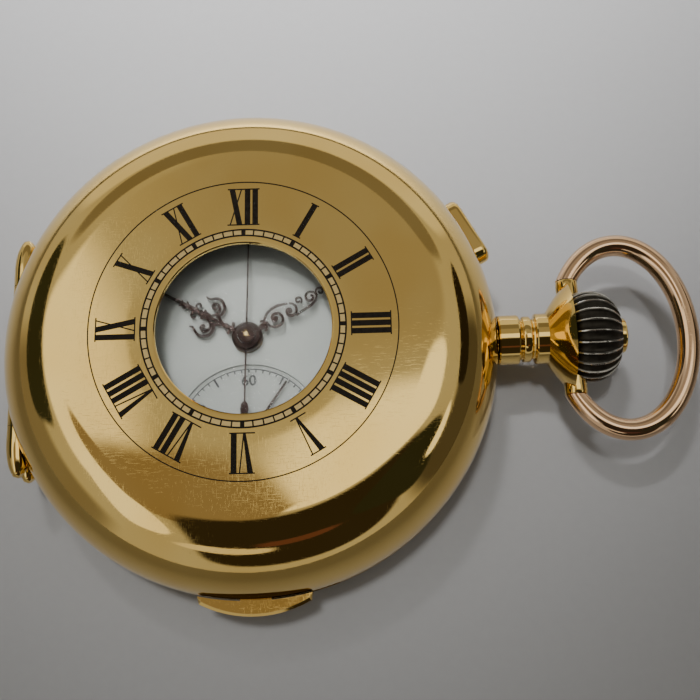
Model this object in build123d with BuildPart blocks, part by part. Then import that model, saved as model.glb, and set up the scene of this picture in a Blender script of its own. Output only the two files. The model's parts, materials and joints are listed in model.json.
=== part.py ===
from build123d import *
from math import asin, atan2, cos, degrees, hypot, radians, sin, sqrt
import os

# Half-hunter pocket watch with repeater slide and chronograph pusher.
# Millimetres. +Z is towards the dial, +X towards the pendant (3 o'clock) and
# +Y towards 12 o'clock. The origin is the centre of the flat back rest face.

os.makedirs("parts", exist_ok=True)

# ---- case ------------------------------------------------------------------------------
case_radius = 26.5
case_height = 16.8
band_low = 6.6
band_high = 8.2
seam_gap = 0.1
mid_height = 7.4
spigot_radius = 25.6
spigot_low = 5.6
spigot_high = 9.2
middle_bore = 23.2
ledge_radius = 22.0
ledge_low = 8.5

lid_flat_radius = 18.5
lid_wall = 0.7
lid_rim_low = band_high + seam_gap
back_flat_radius = 17.5
back_wall = 0.6
back_rim_high = band_low - seam_gap

window_top_radius = 9.3
window_lip_radius = 8.95
window_rebate_radius = 9.9
window_ring_radius = 10.6
window_ring_low = 15.5
window_rebate_high = 16.35
lid_glass_low = 15.75
lid_glass_high = 16.3

cuvette_flat_radius = 16.0
cuvette_rim_radius = 24.4
cuvette_low = 1.1
cuvette_rim_height = 5.0
cuvette_top = 5.5
cuvette_wall = 0.45

# ---- hinges at 9 o'clock, along Y ------------------------------------------------------
hinge_x = -24.8
front_hinge_z = 9.1
back_hinge_z = 5.5
knuckle_radius = 1.2
knuckle_cut_radius = 1.35
knuckle_length = 5.2
knuckle_gap = 0.05
hinge_half_length = 2.5 * knuckle_length
hinge_pin_radius = 0.45
hinge_bore_radius = 0.47
hinge_zone = hinge_half_length + 0.1
channel_x = -24.6
hinge_rim_step = 0.05
cuvette_hinge_x = -22.9
cuvette_hinge_z = 3.3
cuvette_knuckle_radius = 0.45
cuvette_pin_radius = 0.2
cuvette_bore_radius = 0.22
cuvette_bracket_half = 2.4
cuvette_hinge_half = 5.0

# ---- pendant, bow and crown along X ----------------------------------------------------
pendant_start = case_radius + 0.06
pendant_tube_radius = 2.7
sleeve_radius = 1.3
stem_radius = 0.7
stem_bore_radius = 0.75
bow_pivot_x = 34.65
ear_face_y = 6.4
ear_radius = 1.2
bow_gap = 0.05
bow_wire_radius = 1.2
bow_centre_x = 40.2
bow_reach = 7.1
bow_half_width = 10.4
bow_pin_radius = 0.5
crown_base_x = 33.9
crown_top_x = 39.7
crown_radius = 4.93
crown_flutes = 24
button_radius = 1.9
button_top_x = 40.5

# ---- side controls ---------------------------------------------------------------------
pusher_angle = 27.8
pusher_width = 8.0
pusher_height = 3.0
pusher_inner = 25.75
pusher_outer = 28.0
pusher_travel = 0.5
pusher_stem_radius = 0.5
pusher_stem_end = 22.65
pocket_clearance = 0.1
slide_angle = 270.0
slide_half_angle = 12.75
slide_inner = 26.65
slide_outer = 28.2
slide_low = 6.2
slide_high = 8.8
slide_travel_deg = 15.0

# ---- inner bezel, crystal and dial -----------------------------------------------------
bezel_foot_inner = 22.7
bezel_foot_outer = 23.45
crystal_radius = 21.15
crystal_edge_low = 14.02
crystal_edge_high = 14.55
crystal_top = 15.3
crystal_bottom = 14.72
dial_radius = 21.0
dial_low = 11.5
dial_high = 12.3
subdial_radius = 7.7
subdial_low = 11.2
subdial_high = 11.9

# ---- movement --------------------------------------------------------------------------
movement_radius = 21.6
bridge_radius = 21.3
flange_radius = 22.6
plate_low = 7.6
plate_high = 9.9
bridge_low = 3.8
bridge_high = 4.9
jewel_radius = 0.7
pivot_radius = 0.12
pivot_bore = 0.14

train_module = 0.16
third_module = 0.145
fourth_module = 0.12
barrel_module = 0.2
winding_module = 0.3
cannon_module = 0.15
hour_module = 0.144

centre_axis = (0.0, 0.0)
fourth_axis = (0.0, -10.5)
barrel_bearing = 60.32
escape_bearing = -15.7
pallet_bearing = 19.54
minute_bearing = 150.0
pallet_distance = 4.30
balance_axis = (12.2, -9.0)
column_axis = (16.4, 8.0)
lever_axis = (19.6, 4.0)
hammer_bearing = 185.0
hammer_pivot_radius = 18.2


def polar(radius, angle, origin=(0.0, 0.0)):
    """The point at a radius and an angle in degrees from an origin."""
    turn = radians(angle)
    return (origin[0] + radius * cos(turn), origin[1] + radius * sin(turn))


def bearing(start, end):
    """The direction from one axis to another, in degrees."""
    return degrees(atan2(end[1] - start[1], end[0] - start[0]))


def mesh_distance(teeth_a, teeth_b, module):
    """Distance between the axes of two wheels in mesh."""
    return (teeth_a + teeth_b) * module / 2


def mesh_phase(direction, teeth_a, phase_a, teeth_b):
    """Angle of a tooth of wheel B that puts it in mesh with wheel A."""
    return direction + 180 - 180 / teeth_b + teeth_a / teeth_b * (direction - phase_a)


def left_apex(first, first_radius, second, second_radius):
    """The point left of two axes on the Y line, at the given distances from each."""
    span = hypot(second[0] - first[0], second[1] - first[1])
    along = (first_radius**2 - second_radius**2 + span**2) / (2 * span)
    return (first[0] - sqrt(first_radius**2 - along**2), first[1] - along)


# ---- tooth counts and the axes they give -----------------------------------------------
barrel_teeth, centre_leaves = 96, 12
centre_teeth, third_leaves = 80, 10
third_teeth, fourth_leaves = 75, 10
fourth_teeth, escape_leaves = 70, 7
escape_teeth = 15
cannon_leaves, minute_teeth = 12, 36
minute_leaves, hour_teeth = 10, 40
winding_leaves, crown_wheel_teeth, ratchet_teeth = 14, 28, 54

barrel_axis = polar(mesh_distance(barrel_teeth, centre_leaves, barrel_module), barrel_bearing)
third_axis = left_apex(
    centre_axis,
    mesh_distance(centre_teeth, third_leaves, train_module),
    fourth_axis,
    mesh_distance(third_teeth, fourth_leaves, third_module),
)
escape_axis = polar(
    mesh_distance(fourth_teeth, escape_leaves, fourth_module), escape_bearing, fourth_axis
)
pallet_axis = polar(pallet_distance, pallet_bearing, escape_axis)
minute_axis = polar(mesh_distance(cannon_leaves, minute_teeth, cannon_module), minute_bearing)
ratchet_distance = mesh_distance(ratchet_teeth, crown_wheel_teeth, winding_module)
crown_wheel_axis = (barrel_axis[0] + sqrt(ratchet_distance**2 - barrel_axis[1] ** 2), 0.0)
winding_pinion_x = crown_wheel_axis[0] + crown_wheel_teeth * winding_module / 2
hammer_axis = polar(hammer_pivot_radius, hammer_bearing)

# ---- tooth phases, so that every pair is in mesh at rest -------------------------------
centre_pinion_phase = mesh_phase(barrel_bearing, barrel_teeth, 0, centre_leaves)
third_pinion_phase = mesh_phase(bearing(centre_axis, third_axis), centre_teeth, 0, third_leaves)
fourth_pinion_phase = mesh_phase(bearing(third_axis, fourth_axis), third_teeth, 0, fourth_leaves)
escape_pinion_phase = mesh_phase(escape_bearing, fourth_teeth, 0, escape_leaves)
minute_wheel_phase = mesh_phase(minute_bearing, cannon_leaves, 0, minute_teeth)
hour_wheel_phase = mesh_phase(minute_bearing + 180, minute_leaves, 0, hour_teeth)
crown_wheel_bearing = bearing(crown_wheel_axis, barrel_axis)
ratchet_phase = mesh_phase(crown_wheel_bearing, crown_wheel_teeth, 0, ratchet_teeth)

# Tooth shapes: addendum and dedendum in modules, root and tip widths in pitches.
wheel_tooth = (0.9, 1.15, 0.54, 0.2)
pinion_tooth = (0.75, 1.25, 0.42, 0.16)


# ---- helper solids ---------------------------------------------------------------------
def rod(start, end, radius, bore=0):
    """A round rod or tube from one point to another."""
    span = Vector(*end) - Vector(*start)
    with BuildPart() as piece:
        with BuildSketch(Plane(origin=start, z_dir=span)):
            Circle(radius)
            if bore > 0:
                Circle(bore, mode=Mode.SUBTRACT)
        extrude(amount=span.length)
    return piece.part


def disc(radius, low, high, at=(0.0, 0.0), bore=0):
    """A disc or ring standing on its Z axis between two heights."""
    return rod((at[0], at[1], low), (at[0], at[1], high), radius, bore)


def block(low, high):
    """A box between two opposite corners."""
    with BuildPart() as piece:
        with Locations(((low[0] + high[0]) / 2, (low[1] + high[1]) / 2, (low[2] + high[2]) / 2)):
            Box(high[0] - low[0], high[1] - low[1], high[2] - low[2])
    return piece.part


def turned(outline):
    """A piece turned about the Z axis from (radius, height) points."""
    with BuildPart() as piece:
        with BuildSketch(Plane.XZ):
            with BuildLine():
                Polyline(*outline, close=True)
            make_face()
        revolve(axis=Axis.Z)
    return piece.part


def turned_on_stem(outline):
    """A piece turned about the winding stem from (x, radius) points."""
    with BuildPart() as piece:
        with BuildSketch(Plane(origin=(0, 0, mid_height), x_dir=(1, 0, 0), z_dir=(0, -1, 0))):
            with BuildLine():
                Polyline(*outline, close=True)
            make_face()
        revolve(axis=Axis((0, 0, mid_height), (1, 0, 0)))
    return piece.part


def plate(outline, low, high):
    """A flat plate cut to a polygon between two heights."""
    with BuildPart() as piece:
        with BuildSketch(Plane.XY.offset(low)):
            with BuildLine():
                Polyline(*outline, close=True)
            make_face()
        extrude(amount=high - low)
    return piece.part


def bar(start, end, width, low, high):
    """A flat bar with round ends between two points, between two heights."""
    middle = ((start[0] + end[0]) / 2, (start[1] + end[1]) / 2)
    length = hypot(end[0] - start[0], end[1] - start[1])
    with BuildPart() as piece:
        with BuildSketch(Plane.XY.offset(low)):
            with Locations(Location((middle[0], middle[1], 0), (0, 0, bearing(start, end)))):
                SlotCenterToCenter(length, width)
        extrude(amount=high - low)
    return piece.part


def arc_plate(inner, outer, first, last, low, high, at=(0.0, 0.0)):
    """A flat ring sector between two radii, two angles in degrees and two heights."""
    middle = (first + last) / 2
    with BuildPart() as piece:
        with BuildSketch(Plane.XY.offset(low)):
            with BuildLine():
                CenterArc(at, outer, first, last - first)
                CenterArc(at, inner, first, last - first)
                Line(polar(inner, first, at), polar(outer, first, at))
                Line(polar(inner, last, at), polar(outer, last, at))
            make_face()
        extrude(amount=high - low)
    return piece.part


def tooth_outline(teeth, module, shape, phase):
    """The closed outline of a toothed wheel, with one tooth centred at the phase."""
    addendum, dedendum, root_share, tip_share = shape
    tip = module * (teeth / 2 + addendum)
    root = module * (teeth / 2 - dedendum)
    pitch = 360 / teeth
    corners = ((root, -root_share), (tip, -tip_share), (tip, tip_share), (root, root_share))
    outline = []
    for tooth in range(teeth):
        for radius, share in corners:
            outline.append(polar(radius, phase + pitch * (tooth + share / 2)))
    return outline


def toothed(teeth, module, shape, phase, low, high, at=(0.0, 0.0)):
    """A solid toothed disc on a vertical axis."""
    outline = [(at[0] + x, at[1] + y) for x, y in tooth_outline(teeth, module, shape, phase)]
    return plate(outline, low, high)


def crossings(rim, hub, arms, arm_width, low, high, at=(0.0, 0.0), turn=0.0):
    """The openings between the arms of a spoked wheel."""
    with BuildPart() as piece:
        with BuildSketch(Plane.XY.offset(low)):
            with Locations(at):
                Circle(rim)
                Circle(hub, mode=Mode.SUBTRACT)
            for arm in range(arms):
                place = polar(rim / 2, turn + 360 * arm / arms, at)
                with Locations(Location((place[0], place[1], 0), (0, 0, turn + 360 * arm / arms))):
                    Rectangle(rim + 1, arm_width, mode=Mode.SUBTRACT)
        extrude(amount=high - low)
    return piece.part


def spiral(start_radius, pitch, half_turns, thickness, low, high, at):
    """A flat coiled strip made of an even number of half circles about two centres."""
    with BuildPart() as piece:
        with BuildSketch(Plane.XY.offset(low)):
            with BuildLine():
                for turn in range(half_turns):
                    centre = (at[0] + pitch / 2 * (turn % 2), at[1])
                    radius = start_radius + turn * pitch / 2
                    CenterArc(centre, radius + thickness / 2, 180 * (turn % 2), 180)
                    CenterArc(centre, radius - thickness / 2, 180 * (turn % 2), 180)
                inner = at[0] + start_radius
                outer = at[0] + start_radius + half_turns * pitch / 2
                Line((inner - thickness / 2, at[1]), (inner + thickness / 2, at[1]))
                Line((outer - thickness / 2, at[1]), (outer + thickness / 2, at[1]))
            make_face()
        extrude(amount=high - low)
    return piece.part


def arc_middle(radius, edge, crown):
    """The point halfway along a dome's arc, between its crown and its edge."""
    rise = crown - edge
    sphere = (radius**2 + rise**2) / (2 * rise)
    half = asin(radius / sphere) / 2
    return (sphere * sin(half), crown - sphere + sphere * cos(half))


def bowl(flat_radius, rim_radius, flat_height, rim_height):
    """The solid inside a cover: a flat middle and a quarter ellipse out to the rim."""
    rise = flat_height - rim_height
    with BuildPart() as piece:
        with BuildSketch(Plane.XZ):
            with BuildLine():
                Line((0, rim_height), (0, flat_height))
                Line((0, flat_height), (flat_radius, flat_height))
                EllipticalCenterArc(
                    (flat_radius, rim_height),
                    rim_radius - flat_radius,
                    abs(rise),
                    0 if rise > 0 else 270,
                    arc_size=90,
                )
                Line((rim_radius, rim_height), (0, rim_height))
            make_face()
        revolve(axis=Axis.Z)
    return piece.part


def knuckles(height, spans, radius):
    """Hinge knuckles on the hinge line at a height, one rod for each span along Y."""
    with BuildPart() as piece:
        for low, high in spans:
            add(rod((hinge_x, low, height), (hinge_x, high, height), radius))
    return piece.part


def cuvette_rod(low, high, radius):
    """A rod on the dust cover's hinge line between two places along Y."""
    return rod((cuvette_hinge_x, low, cuvette_hinge_z), (cuvette_hinge_x, high, cuvette_hinge_z), radius)


def control_slot(start, length):
    """An oblong pocket for the pusher, cut outwards from a radius."""
    turn = radians(pusher_angle)
    with BuildPart() as piece:
        with BuildSketch(
            Plane(
                origin=(*polar(start, pusher_angle), mid_height),
                x_dir=(-sin(turn), cos(turn), 0),
                z_dir=(cos(turn), sin(turn), 0),
            )
        ):
            SlotOverall(pusher_width + 2 * pocket_clearance, pusher_height + 2 * pocket_clearance)
        extrude(amount=length)
    return piece.part


def finish_piece(builder, name):
    """Label a finished piece and write its STEP file."""
    builder.part.label = name
    export_step(builder.part, "parts/" + name + ".step")


middle_spans = [
    (-hinge_half_length, -hinge_half_length + knuckle_length),
    (-knuckle_length / 2, knuckle_length / 2),
    (hinge_half_length - knuckle_length, hinge_half_length),
]
cover_spans = [
    (-hinge_half_length + knuckle_length + knuckle_gap, -knuckle_length / 2 - knuckle_gap),
    (knuckle_length / 2 + knuckle_gap, hinge_half_length - knuckle_length - knuckle_gap),
]
middle_cut_spans = [(low - knuckle_gap, high + knuckle_gap) for low, high in cover_spans]
cover_cut_spans = [(low - knuckle_gap, high + knuckle_gap) for low, high in middle_spans]
hinge_heights = (front_hinge_z, back_hinge_z)

# ---- case middle: band, spigots, ledge, hinge knuckles and slots -----------------------
gusset_x = (-25.4, -22.5)
slide_slot = (slide_angle - 4.0, slide_angle + slide_travel_deg + 4.0)
slide_tongue_half = 3.5
slide_tongue_low = 6.9
slide_tongue_high = 7.9
catch_angle = 349.0

with BuildPart() as case_middle:
    add(
        turned(
            [
                (middle_bore, spigot_low),
                (spigot_radius, spigot_low),
                (spigot_radius, band_low),
                (case_radius, band_low),
                (case_radius, band_high),
                (spigot_radius, band_high),
                (spigot_radius, spigot_high),
                (ledge_radius, spigot_high),
                (ledge_radius, ledge_low),
                (middle_bore, ledge_low),
            ]
        )
    )
    add(
        block((-30, -hinge_zone, spigot_low - 1), (channel_x, hinge_zone, spigot_high + 1)),
        mode=Mode.SUBTRACT,
    )
    for low, high in (middle_spans[0], middle_spans[2]):
        add(block((gusset_x[0], low, back_hinge_z + 0.1), (gusset_x[1], high, front_hinge_z - 0.1)))
    for height in hinge_heights:
        add(knuckles(height, middle_spans, knuckle_radius))
        add(knuckles(height, middle_cut_spans, knuckle_cut_radius), mode=Mode.SUBTRACT)
        add(
            rod((hinge_x, -hinge_zone, height), (hinge_x, hinge_zone, height), hinge_bore_radius),
            mode=Mode.SUBTRACT,
        )
    add(
        block(
            (cuvette_hinge_x - 0.6, -cuvette_bracket_half, cuvette_hinge_z),
            (cuvette_hinge_x + 0.2, cuvette_bracket_half, spigot_low + 0.1),
        )
    )
    add(cuvette_rod(-cuvette_bracket_half, cuvette_bracket_half, cuvette_knuckle_radius))
    add(cuvette_rod(-3, 3, cuvette_bore_radius), mode=Mode.SUBTRACT)
    add(rod((20, 0, mid_height), (28, 0, mid_height), sleeve_radius), mode=Mode.SUBTRACT)
    add(control_slot(pusher_inner - pusher_travel - 0.05, 3), mode=Mode.SUBTRACT)
    add(
        rod(
            (*polar(20, pusher_angle), mid_height),
            (*polar(27, pusher_angle), mid_height),
            pusher_stem_radius + 0.03,
        ),
        mode=Mode.SUBTRACT,
    )
    add(
        arc_plate(21, 27, *slide_slot, slide_tongue_low - 0.1, slide_tongue_high + 0.1),
        mode=Mode.SUBTRACT,
    )
    add(
        arc_plate(21, middle_bore, catch_angle - 3.5, catch_angle + 3.5, 8, 9.5),
        mode=Mode.SUBTRACT,
    )
    add(arc_plate(21, middle_bore, 148, 155, 8, 9.5), mode=Mode.SUBTRACT)
finish_piece(case_middle, "case_middle")

# ---- front cover with its round window -------------------------------------------------
with BuildPart() as front_cover:
    add(bowl(lid_flat_radius, case_radius, case_height, lid_rim_low))
    add(
        bowl(lid_flat_radius, case_radius - lid_wall, case_height - lid_wall, lid_rim_low),
        mode=Mode.SUBTRACT,
    )
    add(disc(window_ring_radius, window_ring_low, case_height - lid_wall + 0.1))
    add(disc(window_rebate_radius, window_ring_low - 1, window_rebate_high), mode=Mode.SUBTRACT)
    add(
        turned(
            [
                (0, window_rebate_high - 0.1),
                (window_lip_radius, window_rebate_high - 0.1),
                (window_lip_radius, window_rebate_high),
                (window_top_radius, case_height),
                (window_top_radius, case_height + 1),
                (0, case_height + 1),
            ]
        ),
        mode=Mode.SUBTRACT,
    )
    add(
        block((-30, -hinge_zone, 8), (-20, hinge_zone, front_hinge_z + hinge_rim_step)),
        mode=Mode.SUBTRACT,
    )
    add(knuckles(front_hinge_z, cover_cut_spans, knuckle_cut_radius), mode=Mode.SUBTRACT)
    add(knuckles(front_hinge_z, cover_spans, knuckle_radius))
    add(
        rod(
            (hinge_x, -hinge_zone, front_hinge_z),
            (hinge_x, hinge_zone, front_hinge_z),
            hinge_bore_radius,
        ),
        mode=Mode.SUBTRACT,
    )
    add(control_slot(pusher_inner - 2, 5), mode=Mode.SUBTRACT)
    add(
        rod((24, 0, mid_height), (28, 0, mid_height), sleeve_radius + pocket_clearance),
        mode=Mode.SUBTRACT,
    )
finish_piece(front_cover, "front_cover")

with BuildPart() as front_cover_glass:
    add(disc(window_rebate_radius - 0.02, lid_glass_low, lid_glass_high))
finish_piece(front_cover_glass, "front_cover_glass")

# ---- back cover ------------------------------------------------------------------------
with BuildPart() as back_cover:
    add(bowl(back_flat_radius, case_radius, 0, back_rim_high))
    add(
        bowl(back_flat_radius, case_radius - back_wall, back_wall, back_rim_high),
        mode=Mode.SUBTRACT,
    )
    add(
        block((-30, -hinge_zone, back_hinge_z - hinge_rim_step), (-20, hinge_zone, 8)),
        mode=Mode.SUBTRACT,
    )
    add(knuckles(back_hinge_z, cover_cut_spans, knuckle_cut_radius), mode=Mode.SUBTRACT)
    add(knuckles(back_hinge_z, cover_spans, knuckle_radius))
    add(
        rod(
            (hinge_x, -hinge_zone, back_hinge_z),
            (hinge_x, hinge_zone, back_hinge_z),
            hinge_bore_radius,
        ),
        mode=Mode.SUBTRACT,
    )
    add(control_slot(pusher_inner - 2, 5), mode=Mode.SUBTRACT)
    add(
        rod((24, 0, mid_height), (28, 0, mid_height), sleeve_radius + pocket_clearance),
        mode=Mode.SUBTRACT,
    )
finish_piece(back_cover, "back_cover")

# ---- inner dust cover (cuvette) --------------------------------------------------------
cuvette_slot_half = cuvette_bracket_half + 0.1
cuvette_spans = [
    (-cuvette_hinge_half, -cuvette_slot_half),
    (cuvette_slot_half, cuvette_hinge_half),
]

with BuildPart() as inner_dust_cover:
    add(bowl(cuvette_flat_radius, cuvette_rim_radius, cuvette_low, cuvette_rim_height))
    add(disc(cuvette_rim_radius, cuvette_rim_height, cuvette_top))
    add(
        bowl(
            cuvette_flat_radius,
            cuvette_rim_radius - cuvette_wall,
            cuvette_low + cuvette_wall,
            cuvette_rim_height,
        ),
        mode=Mode.SUBTRACT,
    )
    add(
        disc(cuvette_rim_radius - cuvette_wall, cuvette_rim_height, cuvette_top + 1),
        mode=Mode.SUBTRACT,
    )
    add(block((-30, -9, cuvette_hinge_z), (-20, 9, 8)), mode=Mode.SUBTRACT)
    add(
        block((-30, -cuvette_slot_half, 1), (-22.2, cuvette_slot_half, 8)),
        mode=Mode.SUBTRACT,
    )
    for low, high in cuvette_spans:
        add(cuvette_rod(low, high, cuvette_knuckle_radius))
    add(cuvette_rod(-6, 6, cuvette_bore_radius), mode=Mode.SUBTRACT)
finish_piece(inner_dust_cover, "inner_dust_cover")

# ---- hinge pins ------------------------------------------------------------------------
with BuildPart() as front_hinge_pin:
    add(
        rod(
            (hinge_x, -hinge_half_length, front_hinge_z),
            (hinge_x, hinge_half_length, front_hinge_z),
            hinge_pin_radius,
        )
    )
finish_piece(front_hinge_pin, "front_hinge_pin")

with BuildPart() as back_hinge_pin:
    add(
        rod(
            (hinge_x, -hinge_half_length, back_hinge_z),
            (hinge_x, hinge_half_length, back_hinge_z),
            hinge_pin_radius,
        )
    )
finish_piece(back_hinge_pin, "back_hinge_pin")

with BuildPart() as dust_cover_hinge_pin:
    add(cuvette_rod(-cuvette_hinge_half, cuvette_hinge_half, cuvette_pin_radius))
finish_piece(dust_cover_hinge_pin, "dust_cover_hinge_pin")

# ---- inner bezel and domed dial crystal ------------------------------------------------
with BuildPart() as inner_bezel:
    add(
        turned(
            [
                (bezel_foot_inner, spigot_high),
                (bezel_foot_outer, spigot_high),
                (bezel_foot_outer, 10.5),
                (21.95, 14.6),
                (21.5, 14.85),
                (20.7, 14.85),
                (20.7, 14.6),
                (crystal_radius + 0.05, 14.6),
                (crystal_radius + 0.05, 14.0),
                (20.75, 14.0),
                (20.75, 13.5),
                (bezel_foot_inner, 10.6),
            ]
        )
    )
finish_piece(inner_bezel, "inner_bezel")

with BuildPart() as dial_crystal:
    with BuildSketch(Plane.XZ):
        with BuildLine():
            Line((0, crystal_bottom), (0, crystal_top))
            ThreePointArc(
                (0, crystal_top),
                arc_middle(crystal_radius, crystal_edge_high, crystal_top),
                (crystal_radius, crystal_edge_high),
            )
            Line((crystal_radius, crystal_edge_high), (crystal_radius, crystal_edge_low))
            ThreePointArc(
                (crystal_radius, crystal_edge_low),
                arc_middle(crystal_radius, crystal_edge_low, crystal_bottom),
                (0, crystal_bottom),
            )
        make_face()
    revolve(axis=Axis.Z)
finish_piece(dial_crystal, "dial_crystal")

# ---- pendant: sleeve, ringed neck and bell with two ears -------------------------------
# Bell sections: place along X, half width along Y and half depth along Z.
bell_stations = ((31.9, 2.75, 2.75), (33.1, 4.55, 3.95), (34.35, 5.95, 5.05))

with BuildPart() as pendant:
    add(
        turned_on_stem(
            [
                (23.4, 0),
                (23.4, sleeve_radius),
                (pendant_start, sleeve_radius),
                (pendant_start, pendant_tube_radius),
                (28.9, pendant_tube_radius),
                (29.05, 2.25),
                (29.2, 2.25),
                (29.3, 2.5),
                (30.1, 2.5),
                (30.2, 2.2),
                (30.5, 2.2),
                (30.6, 2.75),
                (32.4, 2.75),
                (32.4, 0),
            ]
        )
    )
    for centre_x, half_width, half_depth in bell_stations:
        with BuildSketch(
            Plane(origin=(centre_x, 0, mid_height), x_dir=(0, 1, 0), z_dir=(1, 0, 0))
        ):
            Ellipse(half_width, half_depth)
    loft()
    for side in (-1, 1):
        add(
            rod(
                (bow_pivot_x, side * 4.3, mid_height),
                (bow_pivot_x, side * ear_face_y, mid_height),
                ear_radius,
            )
        )
    add(
        turned_on_stem([(33.6, 0), (33.6, 4.2), (36.3, 5.2), (36.3, 0)]),
        mode=Mode.SUBTRACT,
    )
    add(
        rod((23, 0, mid_height), (34, 0, mid_height), stem_bore_radius),
        mode=Mode.SUBTRACT,
    )
    for side in (-1, 1):
        add(
            rod(
                (bow_pivot_x, side * 5.2, mid_height),
                (bow_pivot_x, side * 7, mid_height),
                bow_pin_radius + 0.03,
            ),
            mode=Mode.SUBTRACT,
        )
finish_piece(pendant, "pendant")

# ---- bow: an oval wire with a pivot pin at each end ------------------------------------
bow_pivot_share = (bow_pivot_x - bow_centre_x) / bow_reach
bow_end_angle = degrees(atan2(sqrt(1 - bow_pivot_share**2), bow_pivot_share))
bow_overrun = 4.0

with BuildPart() as bow:
    with BuildLine(Plane.XY.offset(mid_height)) as bow_path:
        EllipticalCenterArc(
            (bow_centre_x, 0),
            bow_reach,
            bow_half_width,
            -bow_end_angle - bow_overrun,
            arc_size=2 * (bow_end_angle + bow_overrun),
        )
    with BuildSketch(Plane(origin=bow_path.line @ 0, z_dir=bow_path.line % 0)):
        Circle(bow_wire_radius)
    sweep()
    add(
        block((30, -ear_face_y - bow_gap, 4), (37, ear_face_y + bow_gap, 11)),
        mode=Mode.SUBTRACT,
    )
    for side in (-1, 1):
        add(
            rod(
                (bow_pivot_x, side * 5.35, mid_height),
                (bow_pivot_x, side * 7.0, mid_height),
                bow_pin_radius,
            )
        )
finish_piece(bow, "bow")

# ---- fluted crown and its push button --------------------------------------------------
crown_shoulder = (37.0, crown_radius)
crown_base_radius = 3.6
crown_top_radius = 2.7
flute_radius = 0.42

with BuildPart() as flute:
    with BuildLine(Plane.XZ.offset(0)) as flute_path:
        ThreePointArc(
            (crown_base_x - 0.5, mid_height + crown_base_radius - 0.35),
            (crown_shoulder[0] - 0.1, mid_height + crown_radius + 0.08),
            (crown_top_x + 0.2, mid_height + crown_top_radius - 0.1),
        )
    with BuildSketch(Plane(origin=flute_path.line @ 0, z_dir=flute_path.line % 0)):
        Circle(flute_radius)
    sweep()

with BuildPart() as crown:
    with BuildSketch(Plane(origin=(0, 0, mid_height), x_dir=(1, 0, 0), z_dir=(0, -1, 0))):
        with BuildLine():
            Line((crown_base_x, 0), (crown_base_x, crown_base_radius))
            ThreePointArc(
                (crown_base_x, crown_base_radius),
                crown_shoulder,
                (crown_top_x, crown_top_radius),
            )
            Line((crown_top_x, crown_top_radius), (crown_top_x, 0))
            Line((crown_top_x, 0), (crown_base_x, 0))
        make_face()
    revolve(axis=Axis((0, 0, mid_height), (1, 0, 0)))
    for turn in range(crown_flutes):
        add(
            flute.part.rotate(Axis((0, 0, mid_height), (1, 0, 0)), 360 * turn / crown_flutes),
            mode=Mode.SUBTRACT,
        )
    add(
        rod((33, 0, mid_height), (36, 0, mid_height), stem_radius),
        mode=Mode.SUBTRACT,
    )
    add(
        rod((38.1, 0, mid_height), (41, 0, mid_height), button_radius + 0.05),
        mode=Mode.SUBTRACT,
    )
finish_piece(crown, "crown")

with BuildPart() as crown_button:
    add(
        turned_on_stem(
            [
                (39.0, 0),
                (39.0, button_radius),
                (button_top_x - 0.3, button_radius),
                (button_top_x - 0.05, button_radius - 0.3),
                (button_top_x, button_radius - 0.6),
                (button_top_x, 0),
            ]
        )
    )
finish_piece(crown_button, "crown_button")

# ---- chronograph pusher ----------------------------------------------------------------
with BuildPart() as chrono_pusher:
    with BuildSketch(
        Plane(
            origin=(*polar(pusher_inner, pusher_angle), mid_height),
            x_dir=(-sin(radians(pusher_angle)), cos(radians(pusher_angle)), 0),
            z_dir=(cos(radians(pusher_angle)), sin(radians(pusher_angle)), 0),
        )
    ):
        SlotOverall(pusher_width, pusher_height)
    extrude(amount=pusher_outer - pusher_inner)
    fillet(
        chrono_pusher.edges().sort_by(Axis((0, 0, 0), (*polar(1, pusher_angle), 0)))[-4:],
        radius=0.6,
    )
    add(
        rod(
            (*polar(pusher_stem_end, pusher_angle), mid_height),
            (*polar(pusher_inner + 0.2, pusher_angle), mid_height),
            pusher_stem_radius,
        )
    )
finish_piece(chrono_pusher, "chrono_pusher")

# ---- repeater slide at 6 o'clock -------------------------------------------------------
slide_chord = slide_inner * sin(radians(slide_half_angle))
slide_edge_y = -slide_inner * cos(radians(slide_half_angle))

with BuildPart() as repeater_slide:
    with BuildSketch(Plane.XY.offset(slide_low)):
        with BuildLine():
            CenterArc((0, 0), slide_inner, slide_angle - slide_half_angle, 2 * slide_half_angle)
            Line((-slide_chord, slide_edge_y), (-slide_chord + 0.15, slide_edge_y - 0.8))
            ThreePointArc(
                (-slide_chord + 0.15, slide_edge_y - 0.8),
                (0, -slide_outer),
                (slide_chord - 0.15, slide_edge_y - 0.8),
            )
            Line((slide_chord - 0.15, slide_edge_y - 0.8), (slide_chord, slide_edge_y))
        make_face()
    extrude(amount=slide_high - slide_low)
    chamfer(repeater_slide.faces().sort_by(Axis.Z)[-1].edges().sort_by(Axis.Y)[0], length=0.25)
    add(
        arc_plate(
            22.9,
            slide_inner + 0.2,
            slide_angle - slide_tongue_half,
            slide_angle + slide_tongue_half,
            slide_tongue_low,
            slide_tongue_high,
        )
    )
finish_piece(repeater_slide, "repeater_slide")

# ---- lid catch and lift springs --------------------------------------------------------
with BuildPart() as lid_catch_spring:
    add(arc_plate(22.45, 22.95, 300, catch_angle + 2, 6.6, 8.1))
    add(arc_plate(22.45, 22.95, catch_angle - 2, catch_angle + 2, 8.1, 9.15))
finish_piece(lid_catch_spring, "lid_catch_spring")

with BuildPart() as lid_lift_spring:
    add(arc_plate(22.45, 22.95, 100, 153, 6.6, 8.1))
    add(arc_plate(22.45, 22.95, 150, 153, 8.1, 9.15))
finish_piece(lid_lift_spring, "lid_lift_spring")

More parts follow.
